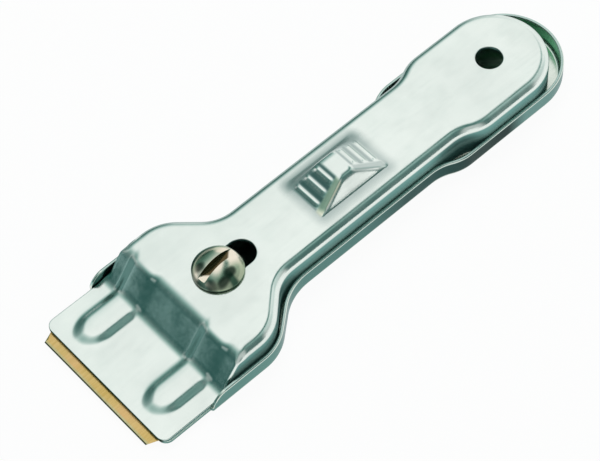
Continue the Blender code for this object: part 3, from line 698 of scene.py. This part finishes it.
class Wiring:
    """The nodes of a material or of the world, added with few words."""

    def __init__(self, tree):
        self.tree = tree
        self.nodes = tree.nodes

    def add(self, kind, sockets=None, **settings):
        """A new node with its settings made and its sockets filled."""
        node = self.nodes.new("ShaderNode" + kind)
        for name, value in settings.items():
            setattr(node, name, value)
        return self.fill(node, sockets or {})

    def fill(self, node, sockets):
        """Fills sockets of a node, given by name or number."""
        for name, value in sockets.items():
            self.put(node.inputs[name], value)
        return node

    def put(self, socket, value):
        """Fills a socket with a plain value, another socket, or a node's first output."""
        if isinstance(value, bpy.types.NodeSocket):
            self.tree.links.new(value, socket)
        elif isinstance(value, bpy.types.Node):
            self.tree.links.new(value.outputs[0], socket)
        else:
            socket.default_value = value

    def math(self, operation, *values):
        """One sum."""
        return self.add("Math", dict(enumerate(values)), operation=operation).outputs[0]

    def fold(self, operation, parts):
        """The same sum over all parts."""
        result, *rest = parts
        for part in rest:
            result = self.math(operation, result, part)
        return result

    def product(self, *parts):
        """All parts multiplied."""
        return self.fold("MULTIPLY", parts)

    def greatest(self, *parts):
        """The greatest of all parts."""
        return self.fold("MAXIMUM", parts)

    def squares(self, *parts):
        """The squares of all parts, added."""
        return self.fold("ADD", [self.math("MULTIPLY", part, part) for part in parts])

    def ramp(self, value, low_end, high_end, low_value=0.0, high_value=1.0):
        """A smooth change from one value to another, between two ends."""
        parts = (value, low_end, high_end, low_value, high_value)
        return self.add("MapRange", dict(enumerate(parts)), interpolation_type="SMOOTHSTEP").outputs[0]

    def inside(self, place, *areas):
        """How far a place is inside some areas, from 0 to 1.

        An area is a row of ramps. Each says what is read of the place, from where to where it changes, and
        the strengths at both ends if these are not 0 and 1.
        """
        return self.greatest(
            *(self.product(*(self.ramp(place[part], *limits) for part, *limits in area)) for area in areas)
        )

    def tones(self, value, stops):
        """A colour that changes along a value, given as (value, colour) in rising order."""
        low_end, high_end = stops[0][0], stops[-1][0]
        node = self.nodes.new("ShaderNodeValToRGB")
        elements = node.color_ramp.elements
        while len(elements) < len(stops):
            elements.new(0.5)
        for element, (place, colour) in zip(elements, stops):
            element.position = (place - low_end) / (high_end - low_end)
            element.color = linear(*colour)
        self.put(node.inputs[0], self.math("DIVIDE", self.math("SUBTRACT", value, low_end), high_end - low_end))
        return node.outputs[0]

    def mix(self, share, first, second):
        """A share of the way from one colour to another."""
        return self.add("Mix", {"Factor": share, "A": first, "B": second}, data_type="RGBA").outputs["Result"]

    def noise(self, place, scale, detail, stretch=(1, 1, 1)):
        """Noise at a scale per metre, stretched along the axes."""
        spread = self.add("VectorMath", {0: place["point"], 1: stretch}, operation="MULTIPLY")
        return self.add("TexNoise", {"Vector": spread, "Scale": scale, "Detail": detail}).outputs[0]

    def bump(self, height, strength, depth, **under):
        """Fine relief of a depth in metres."""
        return self.add("Bump", {"Strength": strength, "Distance": depth, "Height": height, **under})


def linear(red, green, blue):
    """A colour of the screen, 0 to 255, as the linear values that shaders take."""
    parts = [part / 255 for part in (red, green, blue)]
    return tuple(part / 12.92 if part < 0.04045 else ((part + 0.055) / 1.055) ** 2.4 for part in parts) + (1,)


def metal(name):
    """A new metal material with its wiring, its shader, and what is known of each place on a piece.

    A place has its point in metres, its x, y and z in millimetres from the screw's axis, and how far its
    face is turned ahead, to the left, and up or down.
    """
    material = bpy.data.materials.new(name)
    material.use_nodes = True
    wiring = Wiring(material.node_tree)
    shader = wiring.nodes["Principled BSDF"]
    shader.inputs["Metallic"].default_value = 1
    source = wiring.add("TexCoord")
    point = wiring.add("SeparateXYZ", {0: source.outputs["Object"]})
    face = wiring.add("SeparateXYZ", {0: source.outputs["Normal"]})
    place = {
        "point": source.outputs["Object"],
        "x": wiring.math("DIVIDE", wiring.math("SUBTRACT", point.outputs["X"], SCREW_X), MM),
        "y": wiring.math("DIVIDE", point.outputs["Y"], MM),
        "z": wiring.math("DIVIDE", point.outputs["Z"], MM),
        "ahead": face.outputs["X"],
        "left": wiring.math("MULTIPLY", face.outputs["Y"], -1),
        "upright": wiring.math("ABSOLUTE", face.outputs["Z"]),
    }
    return material, wiring, shader, place


# What sets the cover and the base apart: tones of the wall along x, which are painted shade and painted reflection,
# the plate's own tone, the painted tones of the tail and beside the rim, and roughness
COVER_FINISH_AND_SHADE = {
    "walls": ((-110, (116, 162, 155)), (-90, (126, 174, 168)), (24, (126, 174, 168))),
    "plate": (236, 244, 238), "tail": (180, 206, 200), "rim": (153, 190, 183),
    "plate_roughness": 0.19, "wall_roughness": 0.5, "low_roughness": 0.9,
}
BASE_FINISH_AND_SHADE = {
    "walls": (
        # The darkest stretch of the tray's wall, from x -82 to -70, is painted shade
        (-112, (107, 148, 142)), (-88, (107, 148, 142)), (-82, (8, 38, 34)), (-70, (8, 38, 34)),
        (-60, (30, 70, 66)), (-50, (30, 70, 66)), (-35, (77, 123, 117)), (5, (96, 142, 134)), (24, (96, 142, 134)),
    ),
    "plate": (228, 236, 226), "tail": (164, 186, 182), "rim": (186, 208, 201),
    "plate_roughness": 0.22, "wall_roughness": 0.28, "low_roughness": 0.28,
}

# Tones laid over the walls in turn, mostly painted shade and painted light by place and by which way a face is turned:
# a colour, or the name of one of the shell's own tones, and the areas that it covers
PLATING_AND_SHADE_TONES = (
    # Painted shade on walls that are turned to the rear, then a lighter painted tone on the faces turned straight back
    # at the tail's tip
    ((87, 126, 122), (("ahead", -0.75, -0.35, 1, 0),)),
    ("tail", (("ahead", -0.97, -0.84, 1, 0),)),
    # A painted green reflection on the inside of the tray's tail
    ((120, 196, 150), (("x", -100, -92, 1, 0), ("ahead", 0.1, 0.4))),
    # A painted lighter band on the walls just under and over the tray's rim
    ("rim", (("z", BASE_WALL - 0.6, BASE_WALL - 0.35), ("z", BASE_WALL + 0.7, BASE_WALL + 1.8, 1, 0))),
    # All that lies flat, in the plating's own tone, so that only the upright walls keep their painted shade
    ("plate", (("upright", 0.05, 0.25),)),
    # Painted shade on the step
    ((110, 181, 175), (("ahead", 0.5, 0.76), ("upright", 0.35, 0.55), ("x", 0, 5, 0, 0.65))),
    # Painted shade on the far flanks of the beads on the step
    ((88, 128, 122), (("left", 0.03, 0.14), ("upright", 0.75, 0.9, 1, 0), ("x", 8, 9), ("x", 19, 20.5, 1, 0),
                      ("z", 2.6, 3.0))),
    # Painted shade on the far bend of the handle and on the far edge of the tongue
    ((80, 130, 124), (("left", 0.1, 0.5), ("z", 8.6, 9.0), ("y", -8.9, -8.3, 0.6, 0), ("x", 6, 9, 1, 0)),
     (("left", 0.05, 0.4), ("y", -21.3, -21, 0.8, 0))),
    # Painted shadow on the tongues' front edges, over the blade
    ((44, 62, 44), (("ahead", 0.5, 0.9), ("x", 36, 36.3))),
    # Painted shade on the far side of the beads' noses
    ((50, 104, 102), (("left", 0.02, 0.16, 0, 0.4), ("ahead", 0.02, 0.14), ("x", 27, 29), ("y", -21, -20.5))),
    # The tray's rim
    ("rim", (("z", BASE_WALL - 0.06, BASE_WALL - 0.01), ("z", BASE_WALL + 0.4, BASE_WALL + 0.5, 1, 0),
             ("upright", 0.8, 0.98))),
)
# Painted shade round and in the thumb grip
GRIP_SHADE = (20, 94, 96)
# A painted cream highlight on the grip ridge's front arm
GRIP_ARM_HIGHLIGHT = (226, 226, 190)
DIRT = (120, 140, 136)
PLATING_EDGE_TINT = (0.75, 0.8, 0.8, 1)

# Places of the thumb grip that get painted shade, and its front arm that gets a painted highlight, as areas
GRIP_FOOT = ((("along", 9.6, 10.8),), (("beside", 4.6, 6.3),))
GRIP_NEAR_FLANK = (("y", 3.0, 3.6), ("y", 5.9, 6.15, 1, 0), ("along", 10.2, 10.8, 1, 0))
GRIP_FLIGHTS = (("along", 2.0, 2.8), ("along", 10.2, 11.4, 1, 0))
GRIP_VALLEYS = GRIP_FLIGHTS + (
    ("wave", -1.0, 0.7, 1, 0), ("outside", -0.5, 0.4, 1, 0), ("x", GRIP_X - 1, GRIP_X + 1, 0.5, 0.8),
)
GRIP_ARMS = GRIP_FLIGHTS + (("outside", -0.5, 0.4), ("outside", 1.6, 2.0, 1, 0))
GRIP_REAR_ARMS = GRIP_ARMS + (("x", GRIP_X - 1, GRIP_X + 1, 0.36, 0),)
GRIP_FRONT_ARM = GRIP_ARMS + (("x", GRIP_X, GRIP_X + 1, 0, 0.6), ("y", 0, 1))
ON_COVER = (("z", COVER_TOP - 1.6, COVER_TOP - 1.2),)
HALO_END = 10.2
HALO_SIDE = 6.2
HALO_REACH = 3.8
HALO_STRENGTH = 0.4
HALO_FAR_GAIN = 0.1
FAR_SIDE = (-3, 0, 1, 0)
FAR_DRAWN_IN = 1.7
RIB_SPACING = 2.78
RIBS_BEGIN = 1.9
RIBS_WIDEN = 0.2


def grip_shade(wiring, place):
    """How much painted shade the thumb grip gives a place, round its foot, in its valleys and on its rear ridge arms,
    and how much painted cream highlight the ridge's front arm gets.

    Along and across are distances from the grip's middle. Beside is across with the far side drawn in,
    outside is the distance past the ribs' ends, and wave rises and falls with the ribs.
    """
    along = wiring.math("ABSOLUTE", wiring.math("SUBTRACT", place["x"], GRIP_X))
    across = wiring.math("ABSOLUTE", place["y"])
    far = wiring.ramp(place["y"], *FAR_SIDE)
    reach = wiring.math("MULTIPLY_ADD", along, RIBS_WIDEN, RIBS_BEGIN)
    reach = wiring.math("MULTIPLY_ADD", far, RIB_FAR_REACH, reach)
    turn = wiring.math("MULTIPLY", wiring.math("SUBTRACT", along, RIB_PLACES[0]), 2 * pi / RIB_SPACING)
    place = dict(
        place, along=along, across=across, beside=wiring.math("MULTIPLY_ADD", far, FAR_DRAWN_IN, across),
        outside=wiring.math("SUBTRACT", across, reach), wave=wiring.math("COSINE", turn),
    )
    past = [
        wiring.math("MAXIMUM", wiring.math("SUBTRACT", part, end), 0)
        for part, end in ((along, HALO_END), (across, HALO_SIDE))
    ]
    halo = wiring.product(
        wiring.ramp(wiring.math("SQRT", wiring.squares(*past)), 0, HALO_REACH, 1, 0),
        wiring.inside(place, *GRIP_FOOT),
        wiring.math("MULTIPLY_ADD", far, HALO_FAR_GAIN, HALO_STRENGTH),
        wiring.math("SUBTRACT", 1, wiring.inside(place, GRIP_NEAR_FLANK)),
    )
    on_cover = wiring.inside(place, ON_COVER)
    shade = wiring.greatest(halo, wiring.inside(place, GRIP_VALLEYS, GRIP_REAR_ARMS))
    return wiring.product(shade, on_cover), wiring.product(wiring.inside(place, GRIP_FRONT_ARM), on_cover)


# Noises: scale per metre, detail, and stretch along the axes
CLOUDS = (55, 3)
STAINS = (230, 4, (0.6, 1, 1))
PATCHES = (160, 3)
BRUSHING = (1400, 2, (0.08, 1, 1))
WAVES = (110, 2)
BLADE_LINES = (2600, 2, (0.06, 1, 1))
BLADE_CLOUDS = (140, 3)
BLADE_WARMTH = (90, 2)
SCREW_CLOUDS = (220, 3)
SCREW_GRAIN = (900, 2)
BUSH_CLOUDS = (300, 3)

# Ramps of a noise: ends, and what it gives at both
CLOUD_DIRT = (0.35, 0.7, 0.0, 0.09)
STAIN_DIRT = (0.45, 0.75, 0.0, 0.05)
PATCH_ROUGHNESS = (0.3, 0.7, -0.03, 0.04)
BRUSHED_ROUGHNESS = (0.3, 0.75, -0.02, 0.03)
BLADE_CLOUD_TONE = (0.3, 0.7, 0.2, 0.8)
BLADE_LINE_TONE = (0.3, 0.7, -0.25, 0.25)
BLADE_WARM_TONE = (0.45, 0.7, 0, 0.6)
BLADE_ROUGHNESS = (0.3, 0.7, 0.22, 0.32)
DARK_REFLECTION_EDGE = (0.3, 0.7, -0.15, 0.15)
SCREW_ROUGHNESS = (0.3, 0.7, 0.12, 0.2)
BUSH_ROUGHNESS = (0.3, 0.7, 0.35, 0.5)

# Relief: strength, and depth in metres
WAVE_RELIEF = (0.08, 0.0006)
BRUSHED_RELIEF = (0.05, 0.00004)
BLADE_RELIEF = (0.1, 0.00004)
SCREW_RELIEF = (0.06, 0.00004)

# Where roughness changes
WALL_ROUGH_Z = (5.6, 7.6)
FLAT_ROUGH = (0.05, 0.35)
DULL_FAR_SIDE = (-5.5, -3.5, 0.6, 0)


def plating(name, finish_and_shade):
    """Bright plating, with painted shade and painted light by place and by which way a face is turned, a duller tone
    on the tray's sheared rim, faint mottling, scuffs and fine brushing.
    """
    material, wiring, shader, place = metal(name)
    # Painted shade on the walls along x, then the tones laid over them, mostly painted shade and light
    colour = wiring.tones(place["x"], finish_and_shade["walls"])
    for tone, *areas in PLATING_AND_SHADE_TONES:
        colour = wiring.mix(wiring.inside(place, *areas), colour, linear(*finish_and_shade.get(tone, tone)))
    shade, arm = grip_shade(wiring, place)
    clouds, stains, patches, brushed, waves = (
        wiring.noise(place, *kind) for kind in (CLOUDS, STAINS, PATCHES, BRUSHING, WAVES)
    )
    dirt = wiring.math("ADD", wiring.ramp(clouds, *CLOUD_DIRT), wiring.ramp(stains, *STAIN_DIRT))
    # Painted shade of the thumb grip, the painted highlight on its ridge's front arm, then random dirt
    for share, tone in ((shade, GRIP_SHADE), (arm, GRIP_ARM_HIGHLIGHT), (dirt, DIRT)):
        colour = wiring.mix(share, colour, linear(*tone))
    wall_rough = wiring.ramp(place["z"], *WALL_ROUGH_Z, finish_and_shade["low_roughness"], finish_and_shade["wall_roughness"])
    rough = wiring.fold("ADD", (
        wiring.ramp(place["upright"], *FLAT_ROUGH, wall_rough, finish_and_shade["plate_roughness"]),
        wiring.ramp(patches, *PATCH_ROUGHNESS),
        wiring.ramp(brushed, *BRUSHED_ROUGHNESS),
        wiring.product(shade, wiring.ramp(place["y"], *DULL_FAR_SIDE)),
    ))
    relief = wiring.bump(brushed, *BRUSHED_RELIEF, Normal=wiring.bump(waves, *WAVE_RELIEF))
    wiring.fill(shader, {"Base Color": colour, "Roughness": rough, "Normal": relief})
    shader.inputs["Specular Tint"].default_value = PLATING_EDGE_TINT
    return material


BLADE_GOLD = ((200, 172, 100), (228, 198, 134))
BLADE_WARM = (232, 184, 130)
BLADE_PALE = ((184, 174, 118), (210, 202, 156))
# Painted shade along the blade's edge
BLADE_EDGE_SHADE = (62, 74, 58)


def high_edge(node):
    """How far forward a node reaches, in metres."""
    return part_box(node)[1][0]


def blade_steel():
    """Gold-toned blade: a dark line of painted shade along its edge, a paler bevel behind it, and fine lines across.
    """
    material, wiring, shader, place = metal("blade_gold")
    lines, cloud, warm = (wiring.noise(place, *kind) for kind in (BLADE_LINES, BLADE_CLOUDS, BLADE_WARMTH))
    tone = wiring.math("ADD", wiring.ramp(cloud, *BLADE_CLOUD_TONE), wiring.ramp(lines, *BLADE_LINE_TONE))
    gold, pale = (wiring.mix(tone, linear(*low), linear(*high)) for low, high in (BLADE_GOLD, BLADE_PALE))
    colour = wiring.mix(wiring.ramp(warm, *BLADE_WARM_TONE), gold, linear(*BLADE_WARM))
    front = (high_edge("blade") - SCREW_X) / MM
    # The paler bevel, then the painted shade along the edge
    for width, blend, over in ((BLADE_BEVEL, BEVEL_BLEND, pale), (BLADE_SHADED_EDGE, SHADED_EDGE_BLEND, linear(*BLADE_EDGE_SHADE))):
        start = front - width
        colour = wiring.mix(wiring.ramp(place["x"], start - blend, start), colour, over)
    rough = wiring.ramp(cloud, *BLADE_ROUGHNESS)
    wiring.fill(shader, {"Base Color": colour, "Roughness": rough, "Normal": wiring.bump(lines, *BLADE_RELIEF)})
    return material


# Painted reflections on the screw's dome: bright beside the slot, greener outside, dark on the far limb and in patches
NICKEL_BRIGHT = ((228, 218, 196), (246, 238, 222))
NICKEL_GREEN = ((160, 174, 148), (186, 196, 168))
NICKEL_LIMB = (70, 88, 76)
NICKEL_DARK_REFLECTION = (44, 60, 50)
NICKEL_SLOT_SHADE = (88, 78, 54)
BRIGHT_TO_GREEN = (1.6, 4.2)
# Where the far limb's painted dark reflection lies
LIMB = (("radius", HEAD_RADIUS - 0.9, HEAD_RADIUS - 0.25), ("y", -1, 3, 0.85, 0.1))
DARK_REFLECTION_FADE = (0.15, 1.0)
# Painted brown shade in the coin slot, leaving its ends bright
IN_SLOT = ("across", COIN_SLOT_HALF - 0.02, COIN_SLOT_HALF + 0.02, 1, 0)
SLOT_SHADE = (
    (IN_SLOT, ("reach", 3.1, 4.0, 1, 0)), (IN_SLOT, ("z", COIN_SLOT_FLOOR + 0.02, COIN_SLOT_FLOOR + 0.2)),
)
SLOT_SHADE_SLANT = 1.1


def screw_nickel():
    """Warm polished nickel with painted reflections, bright beside the coin slot, greener outside and dark on the far
    limb and in patches, and painted brown shade in the slot.
    """
    material, wiring, shader, place = metal("screw_warm_nickel")
    x, y = place["x"], place["y"]
    along_y = wiring.math("MULTIPLY", y, cos(COIN_SLOT_ANGLE))
    side = wiring.math("SUBTRACT", along_y, wiring.math("MULTIPLY", x, sin(COIN_SLOT_ANGLE)))
    across = wiring.math("ABSOLUTE", side)
    place.update(
        across=across, radius=wiring.math("SQRT", wiring.squares(x, y)),
        reach=wiring.math("ADD", wiring.math("ABSOLUTE", x), wiring.math("MULTIPLY", side, SLOT_SHADE_SLANT)),
    )
    cloud, grain = (wiring.noise(place, *kind) for kind in (SCREW_CLOUDS, SCREW_GRAIN))
    bright, green = (wiring.mix(cloud, linear(*low), linear(*high)) for low, high in (NICKEL_BRIGHT, NICKEL_GREEN))
    # Painted reflections: bright beside the slot, greener outside, dark on the far limb
    colour = wiring.mix(wiring.ramp(across, *BRIGHT_TO_GREEN), bright, green)
    colour = wiring.mix(wiring.inside(place, LIMB), colour, linear(*NICKEL_LIMB))
    # Painted dark reflections in patches on the dome
    for *middle, reach_x, reach_y, strength in SCREW_DARK_REFLECTIONS:
        off = [
            wiring.math("DIVIDE", wiring.math("SUBTRACT", part, centre), reach)
            for part, centre, reach in zip((x, y), middle, (reach_x, reach_y))
        ]
        away = wiring.math("ADD", wiring.squares(*off), wiring.ramp(cloud, *DARK_REFLECTION_EDGE))
        colour = wiring.mix(wiring.ramp(away, *DARK_REFLECTION_FADE, strength, 0), colour, linear(*NICKEL_DARK_REFLECTION))
    # Painted brown shade in the slot
    colour = wiring.mix(wiring.inside(place, *SLOT_SHADE), colour, linear(*NICKEL_SLOT_SHADE))
    rough = wiring.ramp(cloud, *SCREW_ROUGHNESS)
    wiring.fill(shader, {"Base Color": colour, "Roughness": rough, "Normal": wiring.bump(grain, *SCREW_RELIEF)})
    return material


BUSH_ZINC = ((150, 152, 148), (188, 190, 184))


def bush_metal():
    """Dull zinc on the bush."""
    material, wiring, shader, place = metal("bush_zinc")
    cloud = wiring.noise(place, *BUSH_CLOUDS)
    colour = wiring.mix(cloud, *(linear(*tone) for tone in BUSH_ZINC))
    wiring.fill(shader, {"Base Color": colour, "Roughness": wiring.ramp(cloud, *BUSH_ROUGHNESS)})
    return material


def give(piece, material):
    """Sets a piece's only material."""
    piece.data.materials.clear()
    piece.data.materials.append(material)


def smooth(piece, angle):
    """Shades a piece smooth, with creases where faces meet at more than an angle."""
    piece.data.shade_smooth()
    piece.data.set_sharp_from_angle(angle=radians(angle))


# The studio, as areas of the sky by direction: x ahead, y to the right, z up
SOFT_LIGHT = (("y", -0.12, 0.7, 1, 0), ("y", -1, -0.42, 0.04, 1), ("x", 0.05, 0.75, 1, 0))
BAR_ACROSS = (-0.572, 0.747, -0.334)
BAR = (("off_bar", 0.06, 0.2, 0.95, 0), ("z", 0.6, 0.8))
SCREENS = ((0.075, 0.155, 0.145, 1), (0.065, 0.145, 0.135, 1))
SCREENS_CHANGE = (0.3, 0.7)
LIGHT_EDGE_RED = 0.3
LIGHT_EDGE_BLUE = 0.05
WHITE = (1, 1, 1, 1)
PALE_PARTS = (
    # Low at the horizon: behind, ahead at the right, and ahead at the left
    (("x", -0.62, -0.48, 1, 0), ("z", 0.26, 0.4, 0.9, 0)),
    (("x", -0.05, 0.15), ("y", 0.35, 0.5), ("z", 0.26, 0.4, 0.9, 0)),
    (("x", 0.2, 0.4), ("y", -0.62, -0.52, 1, 0), ("z", 0.26, 0.4, 0.9, 0)),
    # Higher: the corner ahead at the right, the rear right, the right, straight ahead, and ahead at the left
    (("x", 0.3, 0.7), ("y", 0.1, 0.5), ("z", 0.12, 0.4, 0, 0.4)),
    (("x", -0.58, -0.44, 1, 0), ("y", 0.2, 0.4), ("z", 0.75, 0.9, 0.5, 0)),
    (("x", -0.2, 0.0), ("y", 0.45, 0.65), ("z", 0.75, 0.9, 0.5, 0)),
    (("x", 0.72, 0.82), ("y", -0.12, 0.02), ("z", 0.3, 0.44, 0, 0.32)),
    (("x", 0.3, 0.45), ("y", -0.56, -0.5, 1, 0), ("z", 0.6, 0.75, 0.35, 0)),
)
LAMP_PLACE = (-0.4, -0.5, 1.0)
LAMP_SIZE = 0.8
LAMP_POWER = 5.0


def studio():
    """A big soft light behind the tool's left with teal edges, a thin dark bar in it, dark screens, and pale parts."""
    world = bpy.data.worlds.new("studio")
    world.use_nodes = True
    bpy.context.scene.world = world
    wiring = Wiring(world.node_tree)
    ground = wiring.nodes["Background"]
    direction = wiring.add("TexCoord").outputs["Generated"]
    parts = wiring.add("SeparateXYZ", {0: direction})
    sky = {axis.lower(): parts.outputs[axis] for axis in "XYZ"}
    off_bar = wiring.add("VectorMath", {0: direction, 1: BAR_ACROSS}, operation="DOT_PRODUCT").outputs["Value"]
    sky["off_bar"] = wiring.math("ABSOLUTE", off_bar)
    soft = wiring.product(wiring.inside(sky, SOFT_LIGHT), wiring.math("SUBTRACT", 1, wiring.inside(sky, BAR)))
    screens = wiring.mix(wiring.ramp(sky["x"], *SCREENS_CHANGE), *SCREENS)
    red, blue = (wiring.math("POWER", soft, power) for power in (LIGHT_EDGE_RED, LIGHT_EDGE_BLUE))
    lit = wiring.mix(soft, screens, wiring.add("CombineColor", {"Red": red, "Green": 1.0, "Blue": blue}))
    wiring.fill(ground, {"Color": wiring.mix(wiring.inside(sky, *PALE_PARTS), lit, WHITE), "Strength": 1.0})
    lamp = bpy.data.lights.new("soft_lamp", "AREA")
    lamp.shape = "DISK"
    lamp.size = LAMP_SIZE
    lamp.energy = LAMP_POWER
    holder = bpy.data.objects.new("soft_lamp", lamp)
    holder.location = LAMP_PLACE
    holder.rotation_euler = (-holder.location).to_track_quat("-Z", "Y").to_euler()
    holder.visible_glossy = False
    bpy.context.scene.collection.objects.link(holder)


FLOOR_HALF = 4
FLOOR_COLOUR = (0.9, 0.9, 0.9, 1)
FLOOR_GLOW = 0.94


def floor():
    """A plain pale floor that shows white, and keeps a faint shadow."""
    points = [(x * FLOOR_HALF, y * FLOOR_HALF, 0) for x, y in ((-1, -1), (1, -1), (1, 1), (-1, 1))]
    mesh = bpy.data.meshes.new("floor")
    mesh.from_pydata(points, [], [(0, 1, 2, 3)])
    piece = bpy.data.objects.new("floor", mesh)
    bpy.context.scene.collection.objects.link(piece)
    material = bpy.data.materials.new("pale_floor")
    material.use_nodes = True
    wiring = Wiring(material.node_tree)
    wiring.nodes.remove(wiring.nodes["Principled BSDF"])
    path = wiring.add("LightPath")
    seen = wiring.greatest(
        *(path.outputs[kind] for kind in ("Is Camera Ray", "Is Glossy Ray", "Is Transmission Ray"))
    )
    matt = wiring.add("BsdfDiffuse", {"Color": FLOOR_COLOUR})
    white = wiring.add("Emission", {"Color": WHITE, "Strength": 1.0})
    both = wiring.add("MixShader", {0: wiring.product(seen, FLOOR_GLOW), 1: matt, 2: white})
    wiring.put(wiring.nodes["Material Output"].inputs["Surface"], both)
    give(piece, material)


CAMERA_HEIGHT = radians(56.803)
CAMERA_TURN = radians(37.439)
CAMERA_ROLL = radians(5.626)
CAMERA_DISTANCE = 0.50412
CAMERA_LENS = 123.62
CAMERA_SENSOR = 36
CAMERA_CLIP = (0.01, 20)
CAMERA_TARGET = (0.00968, -0.00066, 0.0)


def camera():
    """The photograph's camera."""
    across = Vector((-cos(CAMERA_TURN), sin(CAMERA_TURN), 0))
    away = Vector((-sin(CAMERA_TURN), -cos(CAMERA_TURN), 0))
    rise = Vector((0, 0, 1))
    up = away * sin(CAMERA_HEIGHT) + rise * cos(CAMERA_HEIGHT)
    ahead = away * cos(CAMERA_HEIGHT) - rise * sin(CAMERA_HEIGHT)
    right = across * cos(CAMERA_ROLL) - up * sin(CAMERA_ROLL)
    top = across * sin(CAMERA_ROLL) + up * cos(CAMERA_ROLL)
    data = bpy.data.cameras.new("camera")
    data.lens = CAMERA_LENS
    data.sensor_width = CAMERA_SENSOR
    data.clip_start, data.clip_end = CAMERA_CLIP
    view = bpy.data.objects.new("camera", data)
    turn = Matrix((right, top, -ahead)).transposed()
    place = Vector(CAMERA_TARGET) - ahead * CAMERA_DISTANCE
    view.matrix_world = Matrix.Translation(place) @ turn.to_4x4()
    bpy.context.scene.collection.objects.link(view)
    bpy.context.scene.camera = view


SHELL_CREASE = 40
SCREW_CREASE = 35


def main():
    """Builds and dresses the pieces, and sets up the studio."""
    bpy.context.scene.view_settings.view_transform = "Standard"
    camera()
    studio()
    floor()
    cover_finish_and_shade = plating("cover_plating_and_painted_shade", COVER_FINISH_AND_SHADE)
    base_finish_and_shade = plating("base_plating_and_painted_shade", BASE_FINISH_AND_SHADE)
    for make, body, node, slot, finish_and_shade, angle in (
        (make_cover, "cover", "cover_shell", "cover_plating", cover_finish_and_shade, SHELL_CREASE),
        (make_base, "base", "base_shell", "base_plating", base_finish_and_shade, SHELL_CREASE),
        (make_screw, "screw", "clamp_screw", "screw_nickel", screw_nickel(), SCREW_CREASE),
    ):
        piece = make()
        smooth(piece, angle)
        give(piece, finish_and_shade)
        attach(piece, body)
        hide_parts(node)
    give(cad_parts["blade"], blade_steel())
    give(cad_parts["threaded_bush"], bush_metal())
    bpy.context.view_layer.update()


main()
